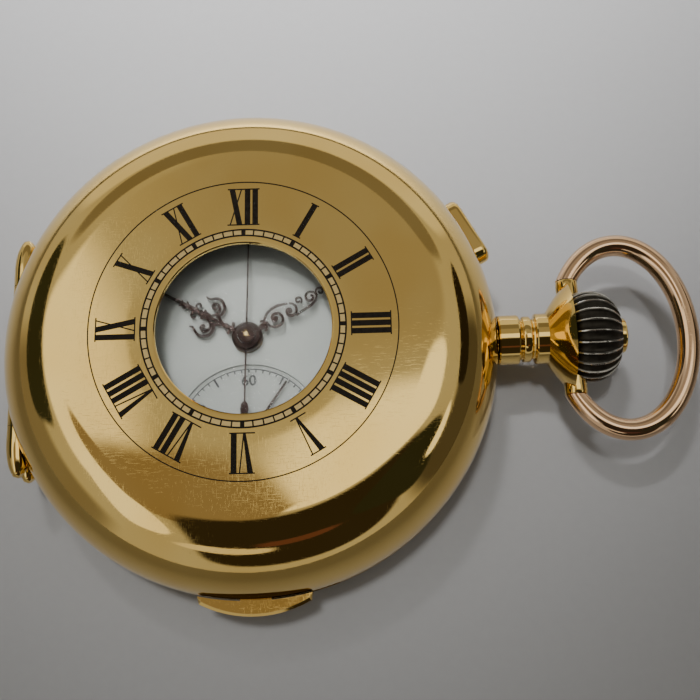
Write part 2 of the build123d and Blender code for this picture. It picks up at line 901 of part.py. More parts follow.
# ---- dial, subsidiary dial and hands ---------------------------------------------------
with BuildPart() as dial:
    add(disc(dial_radius, dial_low, dial_high, bore=1.6))
    add(disc(subdial_radius, dial_low - 1, dial_high + 1, at=fourth_axis), mode=Mode.SUBTRACT)
finish_piece(dial, "dial")

with BuildPart() as seconds_subdial:
    add(disc(subdial_radius - 0.02, subdial_low, subdial_high, at=fourth_axis, bore=0.4))
finish_piece(seconds_subdial, "seconds_subdial")

hour_hand_angle = 150.0
minute_hand_angle = 29.0
small_seconds_angle = 55.2
centre_seconds_angle = 88.0
hour_hand_low, hour_hand_high = 12.8, 13.0
minute_hand_low, minute_hand_high = 13.3, 13.5
centre_seconds_low, centre_seconds_high = 13.8, 13.92
small_seconds_low, small_seconds_high = 12.5, 12.62
seconds_arbor_radius = 0.25
cannon_tube_radius = 0.95
hour_tube_radius = 1.35


def scroll_hand(angle, hub, bore, rings, tip, width, low, high):
    """A pierced hand: a hub, a bar to the tip and pierced rings along it."""
    with BuildPart() as piece:
        add(bar((0, 0), polar(tip, angle), width, low, high))
        for distance, side, radius in rings:
            centre = polar(side, angle + 90, polar(distance, angle))
            add(disc(radius, low, high, at=centre))
            add(disc(radius * 0.55, low - 1, high + 1, at=centre), mode=Mode.SUBTRACT)
        add(disc(hub, low, high))
        add(disc(bore, low - 1, high + 1), mode=Mode.SUBTRACT)
    return piece.part


hour_rings = [(4.0, 0.9, 1.0), (4.0, -0.9, 1.0), (6.0, 0.7, 0.8), (6.0, -0.7, 0.8)]
minute_rings = [(4.4, 0.35, 0.5), (5.8, -0.35, 0.5), (7.2, 0.35, 0.5), (8.6, -0.35, 0.45)]

with BuildPart() as hour_hand:
    add(
        scroll_hand(
            hour_hand_angle, 2.0, hour_tube_radius, hour_rings, 12.0, 0.5, hour_hand_low, hour_hand_high
        )
    )
finish_piece(hour_hand, "hour_hand")

with BuildPart() as minute_hand:
    add(
        scroll_hand(
            minute_hand_angle,
            1.6,
            cannon_tube_radius,
            minute_rings,
            17.0,
            0.4,
            minute_hand_low,
            minute_hand_high,
        )
    )
finish_piece(minute_hand, "minute_hand")

with BuildPart() as centre_seconds_hand:
    add(
        bar(
            polar(-9.5, centre_seconds_angle),
            polar(19.0, centre_seconds_angle),
            0.2,
            centre_seconds_low,
            centre_seconds_high,
        )
    )
    add(
        disc(0.55, centre_seconds_low, centre_seconds_high, at=polar(-8.4, centre_seconds_angle))
    )
    add(disc(0.9, centre_seconds_low, 14.1))
    add(disc(seconds_arbor_radius, 13, 15), mode=Mode.SUBTRACT)
finish_piece(centre_seconds_hand, "centre_seconds_hand")

with BuildPart() as small_seconds_hand:
    add(
        bar(
            polar(-1.8, small_seconds_angle, fourth_axis),
            polar(6.9, small_seconds_angle, fourth_axis),
            0.22,
            small_seconds_low,
            small_seconds_high,
        )
    )
    add(disc(0.55, small_seconds_low, small_seconds_high, at=fourth_axis))
    add(disc(0.2, 12, 13, at=fourth_axis), mode=Mode.SUBTRACT)
finish_piece(small_seconds_hand, "small_seconds_hand")

# ---- motion work under the dial --------------------------------------------------------
with BuildPart() as cannon_pinion:
    add(toothed(cannon_leaves, cannon_module, pinion_tooth, 0, 10.1, 10.6))
    add(disc(cannon_tube_radius, 10.6, 13.6))
    add(disc(0.72, 9.95, 10.1))
    add(disc(0.6, 9, 14), mode=Mode.SUBTRACT)
finish_piece(cannon_pinion, "cannon_pinion")

with BuildPart() as minute_wheel:
    add(
        toothed(
            minute_teeth, cannon_module, wheel_tooth, minute_wheel_phase, 10.15, 10.45, minute_axis
        )
    )
    add(toothed(minute_leaves, hour_module, pinion_tooth, 0, 10.45, 11.05, minute_axis))
    add(disc(0.33, 9, 12, at=minute_axis), mode=Mode.SUBTRACT)
finish_piece(minute_wheel, "minute_wheel")

with BuildPart() as hour_wheel:
    add(toothed(hour_teeth, hour_module, wheel_tooth, hour_wheel_phase, 10.75, 11.0))
    add(disc(hour_tube_radius, 10.7, 13.1))
    add(disc(1.0, 10, 14), mode=Mode.SUBTRACT)
finish_piece(hour_wheel, "hour_wheel")

with BuildPart() as setting_lever:
    add(bar((14.0, 4.5), (10.0, 7.0), 1.6, 10.0, 10.5))
    add(bar((14.0, 4.5), (14.6, -3.2), 1.1, 10.0, 10.5))
    add(disc(0.4, 9.9, 10.8, at=(14.0, 4.5)))
finish_piece(setting_lever, "setting_lever")

# ---- main plate ------------------------------------------------------------------------
dial_rim_inner = 20.3
pinion_pocket_half = 2.6
case_screw_angles = (45.0, 225.0)
case_screw_circle = 22.3
dial_screw_places = [polar(20.2, angle) for angle in (130.0, 212.0, 330.0)]
plate_jewels = (third_axis, fourth_axis, escape_axis, pallet_axis, balance_axis)

with BuildPart() as mainplate:
    add(
        turned(
            [
                (0, plate_low),
                (movement_radius, plate_low),
                (movement_radius, 9.2),
                (flange_radius, 9.2),
                (flange_radius, plate_high),
                (movement_radius, plate_high),
                (movement_radius, dial_low),
                (dial_rim_inner, dial_low),
                (dial_rim_inner, plate_high),
                (0, plate_high),
            ]
        )
    )
    add(disc(9.15, 7, 8.7, at=barrel_axis), mode=Mode.SUBTRACT)
    add(disc(0.85, 8, 9.6, at=barrel_axis), mode=Mode.SUBTRACT)
    add(disc(0.62, 7, 11), mode=Mode.SUBTRACT)
    for place in plate_jewels:
        add(disc(jewel_radius, 7, 11, at=place), mode=Mode.SUBTRACT)
    add(
        block(
            (winding_pinion_x - 1.3, -pinion_pocket_half, 7),
            (winding_pinion_x + 1.3, pinion_pocket_half, 11),
        ),
        mode=Mode.SUBTRACT,
    )
    add(rod((14, 0, mid_height), (25, 0, mid_height), 0.85), mode=Mode.SUBTRACT)
    for angle in case_screw_angles:
        add(disc(0.25, 9, 10.5, at=polar(case_screw_circle, angle)), mode=Mode.SUBTRACT)
    for place in dial_screw_places:
        add(disc(0.35, 7, 8.8, at=place), mode=Mode.SUBTRACT)
    add(disc(0.3, plate_high, 11.1, at=minute_axis))
finish_piece(mainplate, "mainplate")

with BuildPart() as case_screws:
    for angle in case_screw_angles:
        place = polar(case_screw_circle, angle)
        add(disc(0.35, plate_high, 10.25, at=place))
        add(disc(0.2, 9.25, plate_high, at=place))
finish_piece(case_screws, "case_screws")

with BuildPart() as dial_screws:
    for place in dial_screw_places:
        add(disc(0.6, 7.2, plate_low, at=place))
        add(disc(0.33, plate_low, 8.7, at=place))
finish_piece(dial_screws, "dial_screws")

# ---- bridges and cocks -----------------------------------------------------------------
barrel_feet = ((-5.0, 18.6), (17.4, 4.9), (-5.6, 10.6))
foot_radii = (1.3, 1.3, 1.0)
train_feet = (polar(19.3, 150.0), polar(19.2, 222.0), (1.2, -19.6))
cock_foot = (10.6, -16.9)
pallet_foot = (6.6, -15.9)
barrel_bridge_outline = [
    (-7.0, 22),
    (22, 22),
    (22, -2.6),
    (9.0, -2.6),
    (3.0, 2.6),
    (-3.2, 4.4),
    (-7.0, 7.5),
]
train_bridge_outline = [
    (-22, 22),
    (-7.5, 22),
    (-7.5, 7.3),
    (-3.5, 3.9),
    (2.7, 2.1),
    (4.0, 0.9),
    (4.0, -6.0),
    (3.0, -9.0),
    (6.2, -10.4),
    (6.2, -13.2),
    (3.5, -15.0),
    (3.0, -22),
    (-22, -22),
]
click_axis = (-4.6, 14.4)

with BuildPart() as barrel_bridge:
    add(plate(barrel_bridge_outline, bridge_low, bridge_high))
    add(disc(bridge_radius, bridge_low, bridge_high), mode=Mode.INTERSECT)
    for place, radius in zip(barrel_feet, foot_radii):
        add(disc(radius, bridge_high, plate_low, at=place))
    for place in barrel_feet:
        add(disc(0.42, 3, 6.5, at=place), mode=Mode.SUBTRACT)
    add(disc(1.05, 3, 6, at=barrel_axis), mode=Mode.SUBTRACT)
    add(disc(1.5, 3, 6, at=crown_wheel_axis), mode=Mode.SUBTRACT)
    add(
        arc_plate(20.4, 22, pusher_angle - 8, pusher_angle + 8, 3, 6),
        mode=Mode.SUBTRACT,
    )
    for place in (click_axis, lever_axis, column_axis):
        add(disc(0.3, 3.1, bridge_low, at=place))
finish_piece(barrel_bridge, "barrel_bridge")

with BuildPart() as train_bridge:
    add(plate(train_bridge_outline, bridge_low, bridge_high))
    add(disc(bridge_radius, bridge_low, bridge_high), mode=Mode.INTERSECT)
    for place in train_feet:
        add(disc(1.3, bridge_high, plate_low, at=place))
        add(disc(0.42, 3, 6.5, at=place), mode=Mode.SUBTRACT)
    add(disc(0.62, 3, 6), mode=Mode.SUBTRACT)
    for place in (third_axis, fourth_axis, escape_axis):
        add(disc(jewel_radius, 3, 6, at=place), mode=Mode.SUBTRACT)
    add(disc(0.35, bridge_high, 7.55, at=hammer_axis))
finish_piece(train_bridge, "train_bridge")

cock_low, cock_high = 2.6, 3.9
cock_tip_radius = 2.3
hairspring_start = 0.9
hairspring_pitch = 0.35
hairspring_half_turns = 16
stud_x = balance_axis[0] + hairspring_start + hairspring_half_turns * hairspring_pitch / 2

with BuildPart() as balance_cock:
    add(disc(cock_tip_radius, cock_low, cock_high, at=balance_axis))
    add(bar(balance_axis, cock_foot, 3.4, cock_low, cock_high))
    add(disc(2.3, cock_low, cock_high, at=cock_foot))
    add(disc(2.3, cock_high, plate_low, at=cock_foot))
    add(bar(balance_axis, (stud_x, balance_axis[1]), 0.9, 3.3, cock_high))
    add(disc(0.25, cock_high, 4.2, at=(stud_x - 0.1, balance_axis[1])))
    add(disc(bridge_radius, 2, 8), mode=Mode.INTERSECT)
    add(disc(jewel_radius, 2, 5, at=balance_axis), mode=Mode.SUBTRACT)
    add(disc(0.42, 2, 6.5, at=cock_foot), mode=Mode.SUBTRACT)
finish_piece(balance_cock, "balance_cock")

with BuildPart() as pallet_bridge:
    add(disc(1.2, 6.1, 6.4, at=pallet_axis))
    add(bar(pallet_axis, pallet_foot, 1.6, 6.1, 6.4))
    add(disc(0.9, 6.1, plate_low, at=pallet_foot))
    add(disc(0.5, 6, 7, at=pallet_axis), mode=Mode.SUBTRACT)
    add(disc(0.32, 5, 7.4, at=pallet_foot), mode=Mode.SUBTRACT)
finish_piece(pallet_bridge, "pallet_bridge")

with BuildPart() as bridge_screws:
    for place in (*barrel_feet, *train_feet):
        add(disc(0.8, 3.3, bridge_low, at=place))
        add(disc(0.4, bridge_low, 6.4, at=place))
        add(
            block((place[0] - 0.9, place[1] - 0.1, 3.2), (place[0] + 0.9, place[1] + 0.1, 3.5)),
            mode=Mode.SUBTRACT,
        )
    add(disc(0.8, 2.45, cock_low, at=cock_foot))
    add(disc(0.4, cock_low, 6.4, at=cock_foot))
    add(disc(0.6, 5.75, 6.1, at=pallet_foot))
    add(disc(0.3, 6.1, 7.3, at=pallet_foot))
finish_piece(bridge_screws, "bridge_screws")

with BuildPart() as jewels:
    for place in (third_axis, escape_axis, pallet_axis, balance_axis):
        add(disc(jewel_radius, 7.75, 8.25, at=place, bore=pivot_bore))
    add(disc(jewel_radius, 7.75, 8.25, at=fourth_axis, bore=0.23))
    for place in (third_axis, fourth_axis, escape_axis):
        add(disc(jewel_radius, 4.15, 4.7, at=place, bore=pivot_bore))
    add(disc(0.5, 6.13, 6.37, at=pallet_axis, bore=pivot_bore))
    add(disc(jewel_radius, 2.9, 3.5, at=balance_axis, bore=pivot_bore))
finish_piece(jewels, "jewels")

# ---- barrel, mainspring and arbor ------------------------------------------------------
with BuildPart() as mainspring_barrel:
    add(disc(9.0, 5.6, 8.55, at=barrel_axis))
    add(toothed(barrel_teeth, barrel_module, wheel_tooth, 0, 5.8, 6.6, barrel_axis))
    add(disc(8.45, 5.9, 8.25, at=barrel_axis), mode=Mode.SUBTRACT)
    add(disc(0.85, 5, 9, at=barrel_axis), mode=Mode.SUBTRACT)
finish_piece(mainspring_barrel, "mainspring_barrel")

with BuildPart() as mainspring:
    add(spiral(1.7, 0.8, 16, 0.3, 6.0, 8.15, barrel_axis))
finish_piece(mainspring, "mainspring")

with BuildPart() as barrel_arbor:
    add(disc(0.8, 3.0, 9.4, at=barrel_axis))
    add(disc(1.3, 5.95, 8.2, at=barrel_axis))
    add(disc(1.0, 3.9, 5.5, at=barrel_axis))
finish_piece(barrel_arbor, "barrel_arbor")

# ---- going train -----------------------------------------------------------------------
with BuildPart() as center_wheel:
    add(toothed(centre_teeth, train_module, wheel_tooth, 0, 5.0, 5.35))
    add(crossings(5.6, 1.5, 5, 0.55, 4, 6), mode=Mode.SUBTRACT)
    add(toothed(centre_leaves, barrel_module, pinion_tooth, centre_pinion_phase, 5.35, 6.55))
    add(disc(0.95, 6.55, 7.5))
    add(disc(0.58, 4.0, 12.9))
    add(disc(0.33, 3, 14), mode=Mode.SUBTRACT)
finish_piece(center_wheel, "center_wheel")

with BuildPart() as third_wheel:
    add(toothed(third_teeth, third_module, wheel_tooth, 0, 6.6, 6.9, third_axis))
    add(crossings(4.8, 1.1, 5, 0.45, 6, 7.5, third_axis), mode=Mode.SUBTRACT)
    add(toothed(third_leaves, train_module, pinion_tooth, third_pinion_phase, 4.97, 5.5, third_axis))
    add(disc(0.35, 4.97, 7.5, at=third_axis))
    add(disc(pivot_radius, 4.2, 8.2, at=third_axis))
finish_piece(third_wheel, "third_wheel")

with BuildPart() as fourth_wheel:
    add(toothed(fourth_teeth, fourth_module, wheel_tooth, 0, 5.9, 6.2, fourth_axis))
    add(crossings(3.65, 0.9, 5, 0.4, 5, 6.3, fourth_axis), mode=Mode.SUBTRACT)
    add(toothed(fourth_leaves, third_module, pinion_tooth, fourth_pinion_phase, 6.45, 7.05, fourth_axis))
    add(disc(0.4, 4.97, 7.5, at=fourth_axis))
    add(disc(pivot_radius, 4.2, 8.2, at=fourth_axis))
    add(disc(0.2, 7.5, 12.7, at=fourth_axis))
finish_piece(fourth_wheel, "fourth_wheel")

escape_tip_radius = 3.4
escape_root_radius = 2.75

with BuildPart() as escape_wheel:
    with BuildSketch(Plane.XY.offset(6.7)):
        outline = []
        for tooth in range(escape_teeth):
            start = 360 / escape_teeth * tooth
            outline.append(polar(escape_root_radius, start, escape_axis))
            outline.append(polar(escape_tip_radius, start + 11, escape_axis))
            outline.append(polar(escape_tip_radius - 0.05, start + 14, escape_axis))
            outline.append(polar(escape_root_radius, start + 10, escape_axis))
        with BuildLine():
            Polyline(*outline, close=True)
        make_face()
    extrude(amount=0.3)
    add(crossings(2.35, 0.75, 4, 0.3, 6, 7.5, escape_axis), mode=Mode.SUBTRACT)
    add(
        toothed(
            escape_leaves, fourth_module, pinion_tooth, escape_pinion_phase, 5.8, 6.3, escape_axis
        )
    )
    add(disc(0.25, 4.97, 7.5, at=escape_axis))
    add(disc(pivot_radius, 4.2, 8.2, at=escape_axis))
finish_piece(escape_wheel, "escape_wheel")

pallet_to_balance = bearing(pallet_axis, balance_axis)

with BuildPart() as pallet_fork:
    for side in (-1, 1):
        stone = polar(3.95, pallet_bearing + side * 31, escape_axis)
        add(bar(pallet_axis, stone, 0.45, 6.7, 7.0))
        add(
            bar(
                polar(3.78, pallet_bearing + side * 31, escape_axis),
                polar(4.2, pallet_bearing + side * 31, escape_axis),
                0.3,
                6.65,
                7.05,
            )
        )
    add(bar(pallet_axis, polar(2.5, pallet_to_balance, pallet_axis), 0.5, 6.7, 7.0))
    for side in (-1, 1):
        root = polar(2.4, pallet_to_balance + side * 4, pallet_axis)
        add(bar(root, polar(2.72, pallet_to_balance + side * 8, pallet_axis), 0.2, 6.7, 7.0))
    add(disc(0.6, 6.7, 7.0, at=pallet_axis))
    add(disc(0.25, 6.5, 7.4, at=pallet_axis))
    add(disc(pivot_radius, 6.15, 8.2, at=pallet_axis))
finish_piece(pallet_fork, "pallet_fork")

timing_screws = 12

with BuildPart() as balance_wheel:
    add(disc(5.25, 5.58, 6.02, at=balance_axis, bore=4.6))
    add(bar(polar(4.8, 20, balance_axis), polar(-4.8, 20, balance_axis), 0.9, 5.65, 5.95))
    for screw in range(timing_screws):
        angle = 20 + 360 * (screw + 0.5) / timing_screws
        add(
            rod(
                (*polar(5.2, angle, balance_axis), 5.8),
                (*polar(5.6, angle, balance_axis), 5.8),
                0.2,
            )
        )
    add(disc(0.7, 4.1, 4.7, at=balance_axis))
    add(disc(0.35, 3.95, 7.3, at=balance_axis))
    add(disc(1.15, 6.42, 6.6, at=balance_axis))
    add(disc(pivot_radius, 2.95, 8.2, at=balance_axis))
    add(disc(0.1, 6.6, 7.0, at=polar(0.85, pallet_to_balance + 180, balance_axis)))
finish_piece(balance_wheel, "balance_wheel")

with BuildPart() as hairspring:
    add(
        spiral(
            hairspring_start, hairspring_pitch, hairspring_half_turns, 0.09, 4.2, 4.6, balance_axis
        )
    )
finish_piece(hairspring, "hairspring")

# ---- winding work ----------------------------------------------------------------------
with BuildPart() as winding_stem:
    add(rod((15.0, 0, mid_height), (36.0, 0, mid_height), stem_radius))
finish_piece(winding_stem, "winding_stem")

winding_face = Plane(
    origin=(winding_pinion_x - 0.3, 0, mid_height), x_dir=(0, 1, 0), z_dir=(1, 0, 0)
)

with BuildPart() as winding_pinion:
    with BuildSketch(winding_face):
        with BuildLine():
            Polyline(
                *tooth_outline(winding_leaves, winding_module, pinion_tooth, -90 + 180 / winding_leaves),
                close=True,
            )
        make_face()
        Circle(stem_radius, mode=Mode.SUBTRACT)
    extrude(amount=1.0)
finish_piece(winding_pinion, "winding_pinion")

with BuildPart() as crown_wheel:
    add(toothed(crown_wheel_teeth, winding_module, wheel_tooth, 0, 3.0, 3.7, crown_wheel_axis))
    add(toothed(crown_wheel_teeth, winding_module, wheel_tooth, 0, 4.98, 5.4, crown_wheel_axis))
    add(disc(1.4, 3.7, 4.98, at=crown_wheel_axis))
finish_piece(crown_wheel, "crown_wheel")

with BuildPart() as ratchet_wheel:
    add(
        toothed(ratchet_teeth, winding_module, wheel_tooth, ratchet_phase, 3.0, 3.7, barrel_axis)
    )
    add(disc(0.8, 2, 5, at=barrel_axis), mode=Mode.SUBTRACT)
finish_piece(ratchet_wheel, "ratchet_wheel")

click_tip = polar(8.55, 146, barrel_axis)

with BuildPart() as click:
    add(disc(0.9, 3.25, 3.7, at=click_axis))
    add(
        plate(
            [
                (click_axis[0], click_axis[1] + 0.85),
                (click_axis[0], click_axis[1] - 0.85),
                click_tip,
            ],
            3.25,
            3.7,
        )
    )
    add(disc(0.32, 3, 4, at=click_axis), mode=Mode.SUBTRACT)
finish_piece(click, "click")

with BuildPart() as click_spring:
    add(arc_plate(1.4, 1.6, 60, 200, 3.3, 3.6, click_axis))
    add(disc(0.5, 3.3, 3.75, at=polar(1.9, 60, click_axis)))
finish_piece(click_spring, "click_spring")

# ---- chronograph and repeater work -----------------------------------------------------
with BuildPart() as chronograph_wheel:
    add(disc(6.0, 2.0, 2.3))
    add(crossings(5.3, 1.2, 5, 0.5, 1, 3, turn=36), mode=Mode.SUBTRACT)
    add(disc(0.7, 2.3, 2.75))
    add(disc(0.75, 2.3, 2.55, at=(0, 0.3)))
    add(disc(seconds_arbor_radius, 1.9, 14.05))
finish_piece(chronograph_wheel, "chronograph_wheel")

column_teeth = 18
column_count = 6

with BuildPart() as column_wheel:
    with BuildSketch(Plane.XY.offset(3.4)):
        outline = []
        for tooth in range(column_teeth):
            start = 360 / column_teeth * tooth
            outline.append(polar(1.6, start, column_axis))
            outline.append(polar(1.3, start + 2, column_axis))
        with BuildLine():
            Polyline(*outline, close=True)
        make_face()
    extrude(amount=0.35)
    add(disc(1.25, 2.8, 3.4, at=column_axis, bore=0.75))
    for column in range(column_count):
        angle = 360 / column_count * column
        add(
            bar(
                polar(0.6, angle, column_axis), polar(1.4, angle, column_axis), 0.45, 2.7, 3.4
            ),
            mode=Mode.SUBTRACT,
        )
    add(disc(0.33, 2, 4, at=column_axis), mode=Mode.SUBTRACT)
finish_piece(column_wheel, "column_wheel")

lever_tab_inner = 22.05
lever_tab_outer = 22.55

with BuildPart() as operating_lever:
    add(disc(0.9, 3.4, 3.75, at=lever_axis))
    add(bar(lever_axis, polar(21.6, pusher_angle), 1.1, 3.4, 3.75))
    add(
        arc_plate(
            lever_tab_inner - 1.0, lever_tab_outer, pusher_angle - 2, pusher_angle + 2, 3.4, 3.75
        )
    )
    add(
        arc_plate(
            lever_tab_inner, lever_tab_outer, pusher_angle - 2, pusher_angle + 2, 3.4, 7.5
        )
    )
    add(disc(0.33, 3, 4, at=lever_axis), mode=Mode.SUBTRACT)
finish_piece(operating_lever, "operating_lever")

gong_radius = 22.4
gong_wire_radius = 0.3
gong_heights = (6.2, 7.2)
gong_block_angles = (236.0, 242.0)
gong_end_angle = 160.0


def ring_wire(radius, wire_radius, first, last, height):
    """A round wire bent to part of a circle."""
    with BuildPart() as piece:
        with BuildLine(Plane.XY.offset(height)) as path:
            CenterArc((0, 0), radius, first, last - first)
        with BuildSketch(Plane(origin=path.line @ 0, z_dir=path.line % 0)):
            Circle(wire_radius)
        sweep()
    return piece.part


with BuildPart() as gongs:
    for height in gong_heights:
        add(ring_wire(gong_radius, gong_wire_radius, gong_end_angle, gong_block_angles[0], height))
finish_piece(gongs, "gongs")

with BuildPart() as gong_block:
    add(arc_plate(20.6, 22.9, *gong_block_angles, 5.7, plate_low))
finish_piece(gong_block, "gong_block")


def hammer(head_angle, low, high, head_low, head_high):
    """A gong hammer: a pivoted arm with a heavy head just inside the gong."""
    with BuildPart() as piece:
        add(disc(0.9, low, high, at=hammer_axis))
        add(bar(hammer_axis, polar(20.3, head_angle), 0.8, low, high))
        add(arc_plate(19.4, 21.3, head_angle - 2.6, head_angle + 2.6, head_low, head_high))
        add(disc(0.38, 5, 8, at=hammer_axis), mode=Mode.SUBTRACT)
    return piece.part


with BuildPart() as hour_hammer:
    add(hammer(205.0, 5.9, 6.5, 5.7, 6.7))
finish_piece(hour_hammer, "hour_hammer")

with BuildPart() as quarter_hammer:
    add(hammer(165.0, 6.7, 7.2, 6.6, 7.5))
finish_piece(quarter_hammer, "quarter_hammer")
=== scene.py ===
import json
from math import atan2, cos, degrees, hypot, pi, radians, sin, sqrt

import bmesh
import bpy
from mathutils import Matrix, Vector


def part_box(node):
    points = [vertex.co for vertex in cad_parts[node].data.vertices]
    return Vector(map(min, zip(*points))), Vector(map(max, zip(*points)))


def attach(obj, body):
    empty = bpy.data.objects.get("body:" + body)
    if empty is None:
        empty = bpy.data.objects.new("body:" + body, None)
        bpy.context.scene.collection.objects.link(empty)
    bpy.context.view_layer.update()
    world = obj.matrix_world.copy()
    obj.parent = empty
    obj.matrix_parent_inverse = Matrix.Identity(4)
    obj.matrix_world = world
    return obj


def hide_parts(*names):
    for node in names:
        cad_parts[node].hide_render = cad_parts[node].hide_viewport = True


# A gold half-hunter pocket watch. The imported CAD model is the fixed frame. The
# shiny visible pieces are rebuilt here as finer meshes in the same places.
# Shapes are worked out in millimetres and written in metres.
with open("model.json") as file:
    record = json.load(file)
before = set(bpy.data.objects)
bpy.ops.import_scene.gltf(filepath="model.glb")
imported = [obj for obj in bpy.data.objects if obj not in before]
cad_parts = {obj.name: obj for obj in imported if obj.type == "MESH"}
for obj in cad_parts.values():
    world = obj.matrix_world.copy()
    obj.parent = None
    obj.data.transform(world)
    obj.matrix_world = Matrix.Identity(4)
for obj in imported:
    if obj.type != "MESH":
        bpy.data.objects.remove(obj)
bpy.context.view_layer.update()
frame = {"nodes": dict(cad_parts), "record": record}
MM = 0.001
SHARP_ANGLE = radians(28)

# ---- places in millimetres, from the frame where a node gives them -------------------


def node_box(node):
    """The lowest and highest corners of a CAD node, in millimetres."""
    low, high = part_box(node)
    return low / MM, high / MM


case_radius = round(node_box("back_cover")[1].y, 2)
case_top = round(node_box("front_cover")[1].z, 2)
dial_top = round(node_box("dial")[1].z, 2)
subdial_top = round(node_box("seconds_subdial")[1].z, 2)
subdial_middle = (node_box("seconds_subdial")[0] + node_box("seconds_subdial")[1]) / 2
subdial_axis = (0.0, subdial_middle.y)
stem_height = round((node_box("winding_stem")[0].z + node_box("winding_stem")[1].z) / 2, 2)

enamel_rise = 0.02
lid_surface = case_top - enamel_rise
lid_flat = 18.5
lid_wall = 0.7
lid_rim = 8.3
back_flat = 17.5
back_wall = 0.6
back_rim = 6.5

hinge_x = -24.8
hinge_heights = {"front": 9.1, "back": 5.5}
hinge_half = 13.0
knuckle_length = 5.2
knuckle_radius = 1.2
knuckle_cut = 1.35
knuckle_gap = 0.05
channel_x = -24.6

pusher_angle = 27.8
hour_angle = 150.0
minute_angle = 29.0
centre_seconds_angle = 88.0
small_seconds_angle = 55.2


# ---- solids: (vertices, faces) pairs in millimetres ----------------------------------
def polar(radius, angle, origin=(0.0, 0.0)):
    """The point at a radius and an angle in degrees from an origin."""
    return (origin[0] + radius * cos(radians(angle)), origin[1] + radius * sin(radians(angle)))


def arc(middle, across, up, first, last, steps):
    """Points of an elliptical arc between two angles in degrees."""
    points = []
    for step in range(steps + 1):
        turn = radians(first + (last - first) * step / steps)
        points.append((middle[0] + across * cos(turn), middle[1] + up * sin(turn)))
    return points


def rings_solid(rings, closed):
    """A solid through rings of points: closed on itself, or capped at both ends."""
    count = len(rings[0])
    vertices = [point for ring in rings for point in ring]
    faces = []
    for level in range(len(rings) if closed else len(rings) - 1):
        low, high = level * count, (level + 1) % len(rings) * count
        for side in range(count):
            after = (side + 1) % count
            faces.append((low + side, low + after, high + after, high + side))
    if not closed:
        faces.append(tuple(reversed(range(count))))
        faces.append(tuple(range((len(rings) - 1) * count, len(rings) * count)))
    return vertices, faces


def lathe(outline, segments=180):
    """A ring turned about Z from a closed (radius, height) outline."""
    rings = []
    for step in range(segments):
        turn = 2 * pi * step / segments
        rings.append([(r * cos(turn), r * sin(turn), z) for r, z in outline])
    return rings_solid(rings, closed=True)


def turned_disc(outline, segments=96):
    """A solid turned about Z from (radius, height) points, capped at both ends."""
    rings = []
    for r, z in outline:
        turns = [2 * pi * step / segments for step in range(segments)]
        rings.append([(r * cos(turn), r * sin(turn), z) for turn in turns])
    return rings_solid(rings, closed=False)


def on_stem(solid):
    """A solid turned about Z, laid along the winding stem."""
    vertices, faces = solid
    return [(z, x, y + stem_height) for x, y, z in vertices], faces


def moved(solid, matrix):
    """A solid moved by a 4 x 4 matrix in millimetres."""
    vertices, faces = solid
    return [tuple(matrix @ Vector(v)) for v in vertices], faces


def joined(*solids):
    """Several solids as one list of vertices and faces."""
    vertices, faces = [], []
    for more_vertices, more_faces in solids:
        start = len(vertices)
        vertices.extend(more_vertices)
        faces.extend(tuple(start + index for index in face) for face in more_faces)
    return vertices, faces


def slab(outline, low, high):
    """A flat plate with a polygon outline between two heights."""
    return rings_solid([[(x, y, z) for x, y in outline] for z in (low, high)], closed=False)


def box_solid(low, high):
    """A box between two corners, for cutting."""
    outline = [(low[0], low[1]), (high[0], low[1]), (high[0], high[1]), (low[0], high[1])]
    return slab(outline, low[2], high[2])


def sector(inner, outer, first, last, low, high, steps=12):
    """A flat ring sector between two radii and two angles in degrees."""
    outline = arc((0, 0), outer, outer, first, last, steps)
    outline += arc((0, 0), inner, inner, last, first, steps)
    return slab(outline, low, high)


def flat_ring(inner, outer, low, high, segments=360):
    """A flat ring between two radii and two heights."""
    return lathe([(inner, low), (outer, low), (outer, high), (inner, high)], segments)


def tube(path, radii, sides=24):
    """A round bar along a list of points, with a radius at each."""
    rings = []
    up = Vector((0.0, 0.0, 1.0))
    for index, point in enumerate(path):
        before, after = path[max(index - 1, 0)], path[min(index + 1, len(path) - 1)]
        along = (Vector(after) - Vector(before)).normalized()
        side = along.cross(up if abs(along.z) < 0.95 else Vector((1.0, 0.0, 0.0))).normalized()
        lift = side.cross(along)
        ring = []
        for step in range(sides):
            turn = 2 * pi * step / sides
            offset = side * cos(turn) * radii[index] + lift * sin(turn) * radii[index]
            ring.append(tuple(Vector(point) + offset))
        rings.append(ring)
    return rings_solid(rings, closed=False)


def ribbon(points, widths, low, high):
    """A flat strip along a plane curve, with a width at each point."""
    left, right = [], []
    for index, (x, y) in enumerate(points):
        before, after = points[max(index - 1, 0)], points[min(index + 1, len(points) - 1)]
        length = hypot(after[0] - before[0], after[1] - before[1])
        side = (-(after[1] - before[1]) / length, (after[0] - before[0]) / length)
        left.append((x + side[0] * widths[index] / 2, y + side[1] * widths[index] / 2))
        right.append((x - side[0] * widths[index] / 2, y - side[1] * widths[index] / 2))
    rings = []
    for a, b in zip(left, right):
        rings.append([(*a, low), (*b, low), (*b, high), (*a, high)])
    return rings_solid(rings, closed=False)


# ---- pieces --------------------------------------------------------------------------
def finish_mesh(mesh):
    """Outward faces, smooth shading and sharp edges."""
    work = bmesh.new()
    work.from_mesh(mesh)
    bmesh.ops.recalc_face_normals(work, faces=work.faces)
    for face in work.faces:
        face.smooth = True
    work.to_mesh(mesh)
    work.free()
    mesh.set_sharp_from_angle(angle=SHARP_ANGLE)


